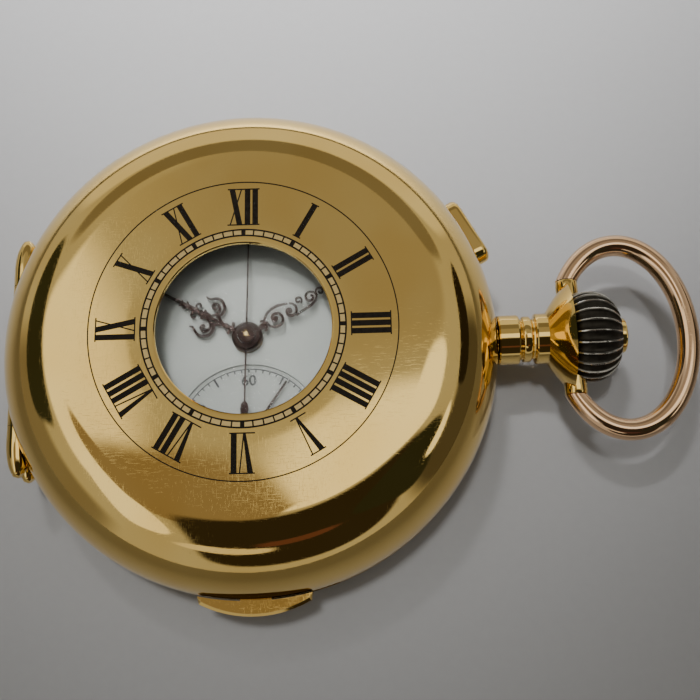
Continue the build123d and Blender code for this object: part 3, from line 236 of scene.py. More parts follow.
def make_piece(name, solid, material):
    """A Blender object from a solid in millimetres."""
    vertices, faces = solid
    mesh = bpy.data.meshes.new(name)
    mesh.from_pydata([[c * MM for c in vertex] for vertex in vertices], [], faces)
    finish_mesh(mesh)
    mesh.materials.append(material)
    piece = bpy.data.objects.new(name, mesh)
    bpy.context.scene.collection.objects.link(piece)
    return piece


def combine(piece, operation, *solids):
    """Cuts solids out of a piece (DIFFERENCE) or merges them into it (UNION)."""
    for solid in solids:
        tool = make_piece("tool", solid, piece.data.materials[0])
        step = piece.modifiers.new("combine", "BOOLEAN")
        step.operation = operation
        step.solver = "EXACT"
        step.object = tool
        graph = bpy.context.evaluated_depsgraph_get()
        mesh = bpy.data.meshes.new_from_object(piece.evaluated_get(graph))
        piece.modifiers.clear()
        piece.data = mesh
        bpy.data.objects.remove(tool)


def cut_away(piece, *cutters):
    """Cuts solids out of a piece and shades it again."""
    combine(piece, "DIFFERENCE", *cutters)
    finish_mesh(piece.data)


def add_solid(piece, solid):
    """Adds a closed solid to a piece's mesh as it is."""
    extra = make_piece("extra", solid, piece.data.materials[0])
    work = bmesh.new()
    work.from_mesh(piece.data)
    work.from_mesh(extra.data)
    work.to_mesh(piece.data)
    work.free()
    bpy.data.objects.remove(extra)
    piece.data.set_sharp_from_angle(angle=SHARP_ANGLE)


def settle(piece, body, slot, *nodes):
    """Rides a piece on its body and hides the nodes it stands for; the slot is not used."""
    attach(piece, body)
    if nodes:
        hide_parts(*nodes)


# ---- materials -----------------------------------------------------------------------
class Shader:
    """A node material with a Principled shader and short ways to add detail."""

    def __init__(self, name, roughness, metallic=0.0):
        self.material = bpy.data.materials.new(name)
        self.material.use_nodes = True
        self.tree = self.material.node_tree
        self.main = self.tree.nodes["Principled BSDF"]
        self.main.inputs["Roughness"].default_value = roughness
        self.main.inputs["Metallic"].default_value = metallic
        self.place = self.node("ShaderNodeTexCoord").outputs["Object"]

    def node(self, kind, **inputs):
        made = self.tree.nodes.new(kind)
        for key, value in inputs.items():
            self.feed(made.inputs[key], value)
        return made

    def feed(self, socket, value):
        if isinstance(value, bpy.types.NodeSocket):
            self.tree.links.new(value, socket)
        else:
            socket.default_value = value

    def colour(self, value):
        self.feed(self.main.inputs["Base Color"], value)

    def rough(self, value):
        self.feed(self.main.inputs["Roughness"], value)

    def noise(self, scale, detail=3.0, stretch=(1, 1, 1), turn=(0, 0, 0)):
        """Noise of a size in features per metre, stretched and turned."""
        mapping = self.node("ShaderNodeMapping", Vector=self.place, Scale=stretch, Rotation=turn)
        place = mapping.outputs["Vector"]
        return self.node("ShaderNodeTexNoise", Vector=place, Scale=scale, Detail=detail).outputs["Fac"]

    def spread(self, value, low, high, out_low, out_high):
        """A value between two limits, spread over two others."""
        limits = {"From Min": low, "From Max": high, "To Min": out_low, "To Max": out_high}
        return self.node("ShaderNodeMapRange", Value=value, **limits).outputs["Result"]

    def math(self, operation, first, second):
        made = self.node("ShaderNodeMath")
        made.operation = operation
        self.feed(made.inputs[0], first)
        self.feed(made.inputs[1], second)
        return made.outputs["Value"]

    def blend(self, factor, first, second):
        """A colour between two colours."""
        made = self.node("ShaderNodeMix")
        made.data_type = "RGBA"
        for key, value in (("Factor", factor), ("A", first), ("B", second)):
            self.feed(made.inputs[key], value)
        return made.outputs["Result"]

    def bump(self, height, distance, strength=1.0):
        """Bump of a height in metres, on top of any bump already there."""
        made = self.node("ShaderNodeBump", Height=height, Distance=distance, Strength=strength)
        before = self.main.inputs["Normal"].links
        if before:
            self.tree.links.new(before[0].from_socket, made.inputs["Normal"])
        self.tree.links.new(made.outputs["Normal"], self.main.inputs["Normal"])


def rgb(red, green, blue):
    return (red, green, blue, 1.0)


def polished_metal(name, light, dark, roughness, wave=0.00001):
    """Polished metal: soft waves from hand finishing, fingerprints and hairlines."""
    shader = Shader(name, roughness, metallic=1.0)
    patches = shader.noise(140, 1)
    smears = shader.noise(420, 5, stretch=(1, 2.4, 1), turn=(0, 0, 0.6))
    hairs_a = shader.noise(900, 2, stretch=(1, 26, 1), turn=(0.2, 0.1, 0.5))
    hairs_b = shader.noise(1100, 2, stretch=(30, 1, 1), turn=(0.1, 0.3, -0.4))
    shader.colour(shader.blend(shader.spread(patches, 0.35, 0.65, 0.0, 1.0), light, dark))
    hair_a = shader.spread(hairs_a, 0.62, 0.74, 0.0, 1.0)
    hair_b = shader.spread(hairs_b, 0.62, 0.74, 0.0, 1.0)
    hairs = shader.math("MAXIMUM", hair_a, hair_b)
    smear = shader.spread(smears, 0.4, 0.75, roughness * 0.6, roughness * 1.3)
    shader.rough(shader.math("ADD", smear, shader.math("MULTIPLY", hairs, 0.05)))
    shader.bump(patches, wave)
    shader.bump(hairs, 0.000001, 0.5)
    return shader.material


def enamel_material():
    """Black vitreous enamel, slightly pitted."""
    shader = Shader("black_enamel", 0.28)
    grain = shader.noise(1800, 3)
    shader.main.inputs["Specular IOR Level"].default_value = 0.12
    shader.colour(shader.blend(grain, rgb(0.004, 0.003, 0.002), rgb(0.012, 0.009, 0.006)))
    shader.rough(shader.spread(grain, 0.3, 0.7, 0.2, 0.4))
    shader.bump(grain, 0.000004)
    return shader.material


def dial_material():
    """White dial enamel, glossy, with a faint cloudiness."""
    shader = Shader("dial_enamel", 0.18)
    cloud = shader.noise(260, 5)
    shader.colour(shader.blend(cloud, rgb(0.41, 0.44, 0.415), rgb(0.465, 0.495, 0.47)))
    shader.rough(shader.spread(cloud, 0.3, 0.7, 0.14, 0.24))
    shader.bump(shader.noise(900, 2), 0.000003)
    return shader.material


def dial_ink_material():
    """The fired black paint of the dial's markings."""
    shader = Shader("dial_ink", 0.4)
    grain = shader.noise(3000, 2)
    shader.colour(shader.blend(grain, rgb(0.018, 0.018, 0.022), rgb(0.05, 0.05, 0.055)))
    return shader.material


def track_fill_material():
    """Pale frosted gold cells of the minute track."""
    shader = Shader("track_fill", 0.5, metallic=1.0)
    grain = shader.noise(2600, 3)
    shader.colour(shader.blend(grain, rgb(0.84, 0.63, 0.27), rgb(0.92, 0.72, 0.34)))
    shader.bump(grain, 0.000006)
    return shader.material


def crown_material():
    """Oxidised silver, black in the flutes and rubbed bright along the ridges."""
    shader = Shader("oxidised_crown", 0.45, metallic=1.0)
    wear = shader.node("ShaderNodeAttribute")
    wear.attribute_name = "wear"
    grain = shader.noise(1600, 4)
    patchy = shader.spread(grain, 0.25, 0.5, 0.55, 1.0)
    rubbed = shader.math("MULTIPLY", wear.outputs["Fac"], patchy)
    black = shader.blend(grain, rgb(0.02, 0.018, 0.014), rgb(0.075, 0.068, 0.055))
    shader.colour(shader.blend(rubbed, black, rgb(0.62, 0.60, 0.54)))
    shader.rough(shader.spread(rubbed, 0.0, 1.0, 0.5, 0.24))
    shader.bump(grain, 0.00002)
    return shader.material


def glass_material():
    """Clear mineral glass with faint wiping marks."""
    shader = Shader("clear_glass", 0.02)
    shader.colour(rgb(0.97, 0.99, 0.98))
    for key, value in (("IOR", 1.5), ("Transmission Weight", 1.0), ("Alpha", 0.08)):
        shader.main.inputs[key].default_value = value
    wiping = shader.noise(500, 3, stretch=(1, 6, 1))
    shader.rough(shader.spread(wiping, 0.4, 0.8, 0.0, 0.012))
    return shader.material


def gilt_movement_material():
    """Frosted gilding of plates and bridges, with fine graining."""
    shader = Shader("frosted_gilding", 0.38, metallic=1.0)
    frost = shader.noise(5200, 3)
    patches = shader.noise(180, 3)
    shader.colour(shader.blend(patches, rgb(0.78, 0.58, 0.30), rgb(0.86, 0.68, 0.38)))
    shader.rough(shader.spread(patches, 0.3, 0.7, 0.3, 0.46))
    shader.bump(frost, 0.000012)
    return shader.material


def brushed_steel(name, light, dark, roughness):
    """Steel with straight graining."""
    shader = Shader(name, roughness, metallic=1.0)
    grain = shader.noise(1500, 3, stretch=(1, 14, 1))
    shader.colour(shader.blend(grain, dark, light))
    shader.rough(shader.spread(grain, 0.3, 0.7, roughness * 0.8, roughness * 1.3))
    shader.bump(grain, 0.000004)
    return shader.material


def ruby_material():
    """Synthetic ruby of the jewels."""
    shader = Shader("ruby_jewel", 0.08)
    depth = shader.noise(1500, 2)
    shader.colour(shader.blend(depth, rgb(0.42, 0.01, 0.04), rgb(0.62, 0.03, 0.09)))
    shader.main.inputs["Coat Weight"].default_value = 0.6
    return shader.material


def floor_material():
    """Plain pale card."""
    shader = Shader("pale_card", 0.75)
    fibre = shader.noise(900, 4)
    shader.colour(shader.blend(fibre, rgb(0.295, 0.297, 0.305), rgb(0.315, 0.317, 0.325)))
    shader.bump(fibre, 0.00001)
    return shader.material


yellow_gold = polished_metal("yellow_gold_polish", rgb(0.93, 0.66, 0.215), rgb(0.89, 0.605, 0.18), 0.035)
rose_gold = polished_metal("rose_gold_polish", rgb(0.88, 0.60, 0.37), rgb(0.83, 0.54, 0.31), 0.09)
gilt_hand = polished_metal(
    "gilt_bronze_hand", rgb(0.095, 0.062, 0.055), rgb(0.06, 0.038, 0.036), 0.4, 0.000004
)
black_enamel = enamel_material()
dial_enamel = dial_material()
dial_ink = dial_ink_material()
track_fill = track_fill_material()
oxidised_crown = crown_material()
clear_glass = glass_material()
frosted_gilding = gilt_movement_material()
steel = brushed_steel("grained_steel", rgb(0.62, 0.61, 0.59), rgb(0.48, 0.47, 0.46), 0.22)
blued = brushed_steel("blued_steel_oxide", rgb(0.05, 0.09, 0.30), rgb(0.02, 0.04, 0.15), 0.2)
brass = polished_metal("train_brass_polish", rgb(0.84, 0.66, 0.34), rgb(0.76, 0.56, 0.26), 0.2)
ruby = ruby_material()

slot_material = {
    "yellow_gold": yellow_gold,
    "rose_gold": rose_gold,
    "gilt_movement": frosted_gilding,
    "gilt_hand": gilt_hand,
    "oxidised_steel": oxidised_crown,
    "polished_steel": steel,
    "blued_steel": blued,
    "train_brass": brass,
    "white_enamel": dial_enamel,
    "crystal_glass": clear_glass,
    "ruby": ruby,
}


def dress_nodes():
    """Gives every carried-over CAD node the material of its slot."""
    for subpart in frame["record"]["subparts"]:
        node = frame["nodes"][subpart["node"]]
        for place in node.material_slots:
            place.material = slot_material[subpart["material_slot"]]


# ---- hinge knuckles ------------------------------------------------------------------
taper_length = 3.4
taper_end = 0.35


def barrel_along(low, high, height, radius, taper=0):
    """A knuckle along Y between two places; the taper side, -1 or 1, narrows to a leaf."""
    steps = 24
    path, radii = [], []
    for step in range(steps + 1):
        y = low + (high - low) * step / steps
        edge = high - y if taper > 0 else y - low
        share = min(1.0, edge / taper_length) if taper else 1.0
        radii.append(radius * (taper_end + (1 - taper_end) * sqrt(1 - (1 - share) ** 2)))
        path.append((hinge_x + (radius - radii[-1]) * 0.6, y, height))
    return tube(path, radii, 40)


middle_spans = [
    (-hinge_half, -hinge_half + knuckle_length, -1),
    (-knuckle_length / 2, knuckle_length / 2, 0),
    (hinge_half - knuckle_length, hinge_half, 1),
]
cover_spans = [
    (-hinge_half + knuckle_length + knuckle_gap, -knuckle_length / 2 - knuckle_gap, 0),
    (knuckle_length / 2 + knuckle_gap, hinge_half - knuckle_length - knuckle_gap, 0),
]


def knuckle_set(spans, height):
    """Knuckles of one part on one hinge line."""
    return joined(*[barrel_along(*ends, height, knuckle_radius, side) for *ends, side in spans])


def knuckle_clearances(spans, height):
    """The spaces that the other part's knuckles turn in."""
    rods = []
    for low, high, _ in spans:
        path = [(hinge_x, low - knuckle_gap, height), (hinge_x, high + knuckle_gap, height)]
        rods.append(tube(path, [knuckle_cut, knuckle_cut], 40))
    return rods


# ---- cutters shared by the case parts ------------------------------------------------
pocket_half_width = 4.1
pocket_half_height = 1.6
stem_notch = 1.4


def pusher_frame():
    """Local axes of the pusher: X outwards, Y along the case edge, Z up."""
    turn = Matrix.Rotation(radians(pusher_angle), 4, "Z")
    return turn @ Matrix.Translation((0, 0, stem_height))


def slot_outline(half_width, half_height, steps=16):
    """An oblong outline in the (Y, Z) plane."""
    straight = half_width - half_height
    right = arc((straight, 0), half_height, half_height, -90, 90, steps)
    left = arc((-straight, 0), half_height, half_height, 90, 270, steps)
    return right + left


def pusher_pocket(start, end):
    """The oblong space around the pusher between two distances from the centre."""
    outline = slot_outline(pocket_half_width, pocket_half_height)
    rings = [[(x, y, z) for y, z in outline] for x in (start, end)]
    return moved(rings_solid(rings, closed=False), pusher_frame())


def stem_hole(start, end, radius):
    """The round hole for the pendant sleeve."""
    return on_stem(turned_disc([(radius, start), (radius, end)], 64))


# ---- case parts ----------------------------------------------------------------------
glass_seat, glass_top, glass_radius = 15.5, 16.35, 9.9
window_radius = 8.95
cover_pocket = (23.75, 29.0)
cover_hole = (24.0, 28.0)


def cover_cutters(side, low, high):
    """The hinge notch between two heights, knuckle spaces, pusher and stem openings of a cover."""
    return [
        box_solid((-30, -hinge_half - 0.1, low), (-20, hinge_half + 0.1, high)),
        *knuckle_clearances(middle_spans, hinge_heights[side]),
        pusher_pocket(*cover_pocket),
        stem_hole(*cover_hole, stem_notch),
    ]


def front_lid():
    """The half-hunter lid: flat middle with a round window and an elliptical shoulder."""
    outer = arc((lid_flat, lid_rim), case_radius - lid_flat, lid_surface - lid_rim, 90, 0, 72)
    under = lid_surface - lid_wall
    inner_across = case_radius - lid_wall - lid_flat
    inner = arc((lid_flat, lid_rim), inner_across, under - lid_rim, 0, 90, 48)
    window = [(10.6, under), (10.6, glass_seat), (glass_radius, glass_seat)]
    window += [(glass_radius, glass_top), (window_radius, glass_top)]
    window += [(8.97, 16.66), (9.08, lid_surface - 0.02)]
    flat = [(r, lid_surface) for r in (9.3, 12.0, 15.0)]
    piece = make_piece("front_lid", lathe(outer + inner + window + flat, 360), yellow_gold)
    cut_away(piece, *cover_cutters("front", 8.0, hinge_heights["front"] + 0.05))
    add_solid(piece, knuckle_set(cover_spans, hinge_heights["front"]))
    settle(piece, "front_cover", "yellow_gold", "front_cover")


def back_lid():
    """The plain back cover, a shallow bowl with a flat middle."""
    outer = arc((back_flat, back_rim), case_radius - back_flat, back_rim, -90, 0, 72)
    inner_up = back_rim - back_wall
    inner_across = case_radius - back_wall - back_flat
    inner = arc((back_flat, back_rim), inner_across, inner_up, 0, -90, 48)
    centre = [(0.02, back_wall), (0.02, 0.0)]
    flat = [(r, 0.0) for r in (6.0, 12.0)]
    piece = make_piece("back_lid", lathe(outer + inner + centre + flat, 360), yellow_gold)
    cut_away(piece, *cover_cutters("back", hinge_heights["back"] - 0.05, 8.0))
    add_solid(piece, knuckle_set(cover_spans, hinge_heights["back"]))
    settle(piece, "back_cover", "yellow_gold", "back_cover")


band_low, band_high = 6.6, 8.2
spigot = (5.6, 9.2, 25.6)
middle_bore = 23.2
ledge = (22.0, 8.5)
slide_slot = (266.0, 289.0, 6.8, 8.0)
spring_notches = ((345.5, 352.5), (148.0, 155.0))


def case_band():
    """The case middle: a thin band between the covers, with spigots and the dial ledge."""
    low, high, radius = spigot
    rounding = 0.12
    corner = case_radius - rounding
    outline = [
        (middle_bore, low), (radius, low), (radius, band_low),
        (corner, band_low), (case_radius, band_low + rounding),
        (case_radius, band_high - rounding), (corner, band_high),
        (radius, band_high), (radius, high), (ledge[0], high), (ledge[0], ledge[1]),
        (middle_bore, ledge[1]),
    ]
    piece = make_piece("case_band", lathe(outline, 360), yellow_gold)
    cutters = [
        box_solid((-30, -hinge_half - 0.1, 4.0), (channel_x, hinge_half + 0.1, 11.0)),
        stem_hole(20.0, 28.0, 1.3),
        pusher_pocket(25.2, 29.0),
        sector(21.0, 27.0, *slide_slot, 24),
        *[sector(21.0, middle_bore, *notch, 8.0, 9.5) for notch in spring_notches],
    ]
    for height in hinge_heights.values():
        cutters.extend(knuckle_clearances(cover_spans, height))
    cut_away(piece, *cutters)
    for height in hinge_heights.values():
        add_solid(piece, knuckle_set(middle_spans, height))
    for low_y, high_y, _ in (middle_spans[0], middle_spans[2]):
        inset = 1.2 if low_y > 0 else 0.0
        start = low_y + (1.2 if low_y < 0 else 0.0)
        add_solid(piece, box_solid((-25.3, start, 5.6), (-22.5, high_y - inset, 9.0)))
    add_solid(piece, box_solid((-23.5, -2.4, 3.3), (-22.7, 2.4, 5.7)))
    settle(piece, "case", "yellow_gold", "case_middle")


# ---- pendant, crown and bow ----------------------------------------------------------
def pendant_neck():
    """The ringed tube of the pendant."""
    bore = 0.75
    outline = [
        (bore, 23.4), (1.3, 23.4), (1.3, 26.56), (2.45, 26.56), (2.62, 26.6), (2.7, 26.75),
        (2.7, 28.7), (2.62, 28.85), (2.25, 29.02), (2.2, 29.12), (2.25, 29.22), (2.44, 29.3),
        (2.5, 29.45), (2.5, 29.95), (2.44, 30.1), (2.22, 30.2), (2.16, 30.35), (2.22, 30.5),
        (2.68, 30.62), (2.75, 30.75), (2.75, 32.4), (bore, 32.4),
    ]
    return on_stem(lathe(outline, 128))


bow_pivot_x = 34.65
ear_face = 6.4
bell_stations = ((31.9, 2.75, 2.75), (33.1, 4.55, 3.95), (34.35, 5.95, 5.05))


def bell():
    """The flared bell of the pendant, a loft through three ellipses."""
    (x0, w0, d0), (x1, w1, d1), (x2, w2, d2) = bell_stations
    rings = []
    steps = 20
    for step in range(steps + 1):
        x = x0 + (x2 - x0) * step / steps
        a = (x - x1) * (x - x2) / ((x0 - x1) * (x0 - x2))
        b = (x - x0) * (x - x2) / ((x1 - x0) * (x1 - x2))
        c = (x - x0) * (x - x1) / ((x2 - x0) * (x2 - x1))
        half_width, half_depth = a * w0 + b * w1 + c * w2, a * d0 + b * d1 + c * d2
        points = arc((0.0, stem_height), half_width, half_depth, 0, 360, 96)[:-1]
        rings.append([(x, y, z) for y, z in points])
    return rings_solid(rings, closed=False)


def bow_pin(side, start, radius):
    """A rod on the bow's pivot line, for the bow's pins and for their holes."""
    path = [(bow_pivot_x, side * y, stem_height) for y in (start, 7.0)]
    return tube(path, [radius, radius], 32)


def ear(side):
    """A round ear of the bell, with a soft outer edge where the bow turns."""
    ends = ((4.3, 1.2), (5.4, 1.2), (6.2, 1.2), (6.34, 1.14), (ear_face, 1.05))
    path = [(bow_pivot_x, side * y, stem_height) for y, _ in ends]
    return tube(path, [radius for _, radius in ends], 48)


def pendant():
    """The pendant: neck and bell with the ears that hold the bow."""
    piece = make_piece("pendant_bell", bell(), yellow_gold)
    combine(piece, "UNION", ear(-1), ear(1))
    cavity = on_stem(turned_disc([(4.2, 33.6), (5.2, 36.3)], 96))
    stem_way = on_stem(turned_disc([(0.75, 31.0), (0.75, 34.0)], 48))
    cut_away(piece, cavity, stem_way, *[bow_pin(side, 5.2, 0.53) for side in (-1, 1)])
    add_solid(piece, pendant_neck())
    settle(piece, "case", "yellow_gold", "pendant")


bow_centre_x = 40.2
bow_reach = 7.1
bow_half_width = 10.4
bow_wire = 1.2
bow_thin = 0.16


def bow():
    """The oval bow, a little thinner at its ends, with a pivot pin in each end."""
    share = (bow_pivot_x - bow_centre_x) / bow_reach
    end = degrees(atan2(sqrt(1 - share**2), share)) + 4.0
    steps = 220
    path, radii = [], []
    for step in range(steps + 1):
        turn = -end + 2 * end * step / steps
        x = bow_centre_x + bow_reach * cos(radians(turn))
        path.append((x, bow_half_width * sin(radians(turn)), stem_height))
        radii.append(bow_wire - bow_thin * (turn / end) ** 4)
    piece = make_piece("bow_ring", tube(path, radii, 48), rose_gold)
    cut_away(piece, box_solid((30, -ear_face - 0.05, 4), (37, ear_face + 0.05, 11)))
    for side in (-1, 1):
        add_solid(piece, bow_pin(side, 5.35, 0.5))
    settle(piece, "bow", "rose_gold", "bow")


flutes = 24
flute_depth = 0.42
ridge_half = 0.07
crown_base_x, crown_shoulder_x, crown_top_x = 33.9, 37.0, 39.7
crown_base, crown_shoulder, crown_top = 3.6, 4.93, 2.7


def circle_through(first, second, third):
    """The centre and radius of the circle through three points."""
    ax, ay = second[0] - first[0], second[1] - first[1]
    bx, by = third[0] - first[0], third[1] - first[1]
    double = 2 * (ax * by - ay * bx)
    a_square, b_square = ax * ax + ay * ay, bx * bx + by * by
    x = (by * a_square - ay * b_square) / double
    y = (ax * b_square - bx * a_square) / double
    return (first[0] + x, first[1] + y), hypot(x, y)


def crown():
    """The fluted winding crown, with the wear along its ridges stored on its points."""
    centre, radius = circle_through(
        (crown_base_x, crown_base), (crown_shoulder_x, crown_shoulder), (crown_top_x, crown_top)
    )
    stations = 36
    outline = []
    for step in range(stations + 1):
        x = crown_base_x + (crown_top_x - crown_base_x) * step / stations
        outline.append((centre[1] + sqrt(radius**2 - (x - centre[0]) ** 2), x, 1.0))
    bore = ((1.95, crown_top_x), (1.95, 38.1), (0.72, 38.1), (0.72, crown_base_x))
    outline += [(r, x, 0.0) for r, x in bore]
    samples = 18
    rings, wear = [], []
    for step in range(flutes * samples):
        turn = 2 * pi * step / (flutes * samples)
        phase = abs((step % samples) / samples - 0.5)
        ring = []
        for r, x, fluted in outline:
            pitch = 2 * pi * r / flutes
            half = pitch / 2 - ridge_half
            place = min(1.0, (0.5 - phase) * pitch / half) if half > 0 else 1.0
            end_fade = min(1.0, (crown_top_x - x) / 0.5 + 0.35)
            depth = fluted * flute_depth * sqrt(1 - place**2) * end_fade
            ring.append(((r - depth) * cos(turn), (r - depth) * sin(turn), x))
            wear.append(fluted * max(0.0, (place - 0.93) / 0.07))
        rings.append(ring)
    solid = on_stem(rings_solid(rings, closed=True))
    piece = make_piece("fluted_crown", solid, oxidised_crown)
    layer = piece.data.attributes.new("wear", "FLOAT", "POINT")
    layer.data.foreach_set("value", wear)
    settle(piece, "crown_and_stem", "oxidised_steel", "crown")


def crown_button():
    """The round button in the crown's end."""
    outline = [(1.9, 39.0), (1.9, 40.2), (1.84, 40.34), (1.7, 40.44), (1.45, 40.49), (0.6, 40.5)]
    piece = make_piece("crown_end_button", on_stem(turned_disc(outline, 96)), yellow_gold)
    settle(piece, "crown_button", "yellow_gold", "crown_button")


# ---- side controls -------------------------------------------------------------------
pusher_half_width, pusher_half_height = 4.0, 1.5


def pusher():
    """The oblong chronograph pusher with a softly cushioned face."""
    stations = ((25.75, 0.0), (27.3, 0.0), (27.6, 0.05), (27.8, 0.18), (27.93, 0.4), (28.0, 0.75))
    rings = []
    for x, inset in stations:
        outline = slot_outline(pusher_half_width - inset, pusher_half_height - inset)
        rings.append([(x, y, z) for y, z in outline])
    stem = tube([(22.65, 0, 0), (25.95, 0, 0)], [0.5, 0.5], 32)
    solid = moved(joined(rings_solid(rings, closed=False), stem), pusher_frame())
    piece = make_piece("pusher_cap", solid, yellow_gold)
    settle(piece, "pusher", "yellow_gold", "chrono_pusher")


slide_inner, slide_outer = 26.65, 28.2
slide_half = 12.75
slide_low, slide_high = 6.2, 8.8
slide_step = 0.8
slide_inset = 0.15


def slide():
    """The repeater slide: a crescent with a flat lower edge and bevelled sides."""
    chord = slide_inner * sin(radians(slide_half))
    edge = -slide_inner * cos(radians(slide_half))
    wall = arc((0, 0), slide_inner, slide_inner, 270 - slide_half, 270 + slide_half, 40)
    end_x, end_y = chord - slide_inset, edge - slide_step
    centre, radius = circle_through((-end_x, end_y), (0, -slide_outer), (end_x, end_y))
    half = degrees(atan2(end_x, centre[1] - edge + slide_step))
    face = arc(centre, radius, radius, 270 + half, 270 - half, 40)
    rings = []
    levels = ((slide_low, 0.18), (slide_low + 0.18, 0), (slide_high - 0.25, 0), (slide_high, 0.25))
    for z, inset in levels:
        shrink = (chord - inset) / chord
        rings.append([(x, y, z) for x, y in wall] + [(x * shrink, y + inset, z) for x, y in face])
    tongue = sector(22.9, slide_inner + 0.2, 266.5, 273.5, 6.9, 7.9)
    solid = joined(rings_solid(rings, closed=False), tongue)
    piece = make_piece("slide_crescent", solid, yellow_gold)
    settle(piece, "repeater_slide", "yellow_gold", "repeater_slide")


# ---- enamel on the lid ---------------------------------------------------------------
bar_width = 0.58
bar_gap = 0.22
hairline = 0.13
serif_out = 0.16


def numeral_glyphs(text, height):
    """Stroke polygons of a Roman numeral, centred, with feet at 0; and its width."""
    strokes = []
    x = 0.0
    for index, letter in enumerate(text):
        if index:
            x += bar_gap
        if letter == "I":
            strokes.append([(x, 0), (x + bar_width, 0), (x + bar_width, height), (x, height)])
            x += bar_width
        elif letter == "V":
            foot = x + 0.78
            strokes.append([(foot, 0), (foot + 0.26, 0), (x + bar_width, height), (x, height)])
            top = x + 1.42
            strokes.append([(foot + 0.1, 0), (foot + 0.24, 0), (top, height), (top - hairline, height)])
            x = top
        elif letter == "X":
            foot = x + 0.82
            strokes.append([(foot, 0), (foot + bar_width, 0), (x + bar_width, height), (x, height)])
            strokes.append([(x + 0.04, 0), (x + 0.17, 0), (x + 1.36, height), (x + 1.23, height)])
            x += 1.4
    start, end = -serif_out, x + serif_out
    for low in (0.0, height - hairline):
        high = low + hairline
        strokes.append([(start, low), (end, low), (end, high), (start, high)])
    return strokes, x


def radial_strokes(text, angle, inner, height, scale, low, high):
    """A numeral standing on a circle, with its feet towards the centre."""
    strokes, width = numeral_glyphs(text, height / scale)
    solids = []
    for index, stroke in enumerate(strokes):
        outline = []
        for u, v in stroke:
            foot = polar(inner + v * scale, angle)
            outline.append(polar((u - width / 2) * scale, angle - 90, foot))
        solids.append(slab(outline, low, high - 0.001 * index))
    return joined(*solids)


hour_names = ("XII", "I", "II", "III", "IIII", "V", "VI", "VII", "VIII", "IX", "X", "XI")
numeral_inner, numeral_height = 10.88, 4.1
track_inner, track_outer = 9.76, 10.4
track_line = 0.17
enamel_turn = -0.9
outer_circle = 15.7


def lid_enamel():
    """Black enamel numerals, minute track and circle, a little clockwise of the pendant."""
    low, high = lid_surface - 0.03, case_top
    solids = []
    for hour, text in enumerate(hour_names):
        angle = 90 - 30 * hour + enamel_turn
        solids.append(radial_strokes(text, angle, numeral_inner, numeral_height, 1.0, low, high))
    for radius in (track_inner, track_outer):
        solids.append(flat_ring(radius - track_line / 2, radius + track_line / 2, low, high))
    solids.append(flat_ring(outer_circle - 0.06, outer_circle + 0.06, low, high))
    for minute in range(60):
        angle = 6 * minute + enamel_turn
        half = 1.25 if minute % 5 == 0 else 0.42
        first, last = angle - half, angle + half
        solids.append(sector(track_inner, track_outer, first, last, low, high - 0.002, 3))
    piece = make_piece("lid_enamel", joined(*solids), black_enamel)
    settle(piece, "front_cover", "white_enamel")


def lid_track_cells():
    """The pale ground inside the minute track."""
    solid = flat_ring(track_inner, track_outer, lid_surface - 0.03, lid_surface + 0.008)
    settle(make_piece("lid_track_cells", solid, track_fill), "front_cover", "yellow_gold")


# ---- dial markings -------------------------------------------------------------------
ink_rise = 0.015
dial_numeral_inner, dial_numeral_height, dial_numeral_scale = 14.4, 3.9, 0.93
dial_track_inner, dial_track_outer = 19.0, 20.0


def dial_markings():
    """The dial's own hour numerals and minute track, seen when the lid is open."""
    low, high = dial_top - 0.01, dial_top + ink_rise
    solids = []
    for hour, text in enumerate(hour_names):
        if text != "VI":
            angle = 90 - 30 * hour
            size = (dial_numeral_inner, dial_numeral_height, dial_numeral_scale)
            solids.append(radial_strokes(text, angle, *size, low, high))
    for radius in (dial_track_inner, dial_track_outer):
        solids.append(flat_ring(radius - 0.05, radius + 0.05, low, high))
    for minute in range(60):
        half = 0.5 if minute % 5 == 0 else 0.14
        first, last = 6 * minute - half, 6 * minute + half
        solids.append(sector(dial_track_inner, dial_track_outer, first, last, low, high - 0.002, 2))
    settle(make_piece("dial_markings", joined(*solids), dial_ink), "case", "white_enamel")


seconds_ring, seconds_line = 7.25, 0.12
digit_circle, digit_size, digit_stretch = 6.0, 1.55, 1.02


def digit_solid(text, size, place, low, high):
    """Plain digits as a thin solid centred on a place, in millimetres."""
    words = bpy.data.curves.new("digits", "FONT")
    words.body = text
    words.size = size
    words.offset = 0.035
    words.align_x = "CENTER"
    words.align_y = "CENTER"
    words.extrude = (high - low) / 2
    holder = bpy.data.objects.new("digits", words)
    bpy.context.scene.collection.objects.link(holder)
    graph = bpy.context.evaluated_depsgraph_get()
    mesh = bpy.data.meshes.new_from_object(holder.evaluated_get(graph))
    vertices = []
    for vertex in mesh.vertices:
        x, y, z = vertex.co
        vertices.append((x * digit_stretch + place[0], y + place[1], z + (low + high) / 2))
    faces = [tuple(face.vertices) for face in mesh.polygons]
    bpy.data.objects.remove(holder)
    return vertices, faces


def seconds_markings():
    """The seconds ring, its ticks and the tens."""
    low, high = subdial_top - 0.01, subdial_top + ink_rise
    half_line = seconds_line / 2
    solids = [flat_ring(seconds_ring - half_line, seconds_ring + half_line, low, high, 240)]
    for second in range(60):
        length = 0.95 if second % 10 == 0 else 0.34
        half = 0.9 if second % 5 == 0 else 0.6
        ends = (6 * second - half, 6 * second + half)
        solids.append(sector(seconds_ring - length, seconds_ring, *ends, low, high - 0.002, 1))
    ring = moved(joined(*solids), Matrix.Translation((*subdial_axis, 0)))
    tens = []
    for ten in range(1, 7):
        place = polar(digit_circle, 90 - 60 * ten, subdial_axis)
        tens.append(digit_solid(str(10 * ten), digit_size, place, low, high))
    piece = make_piece("seconds_markings", joined(ring, *tens), dial_ink)
    settle(piece, "case", "white_enamel")


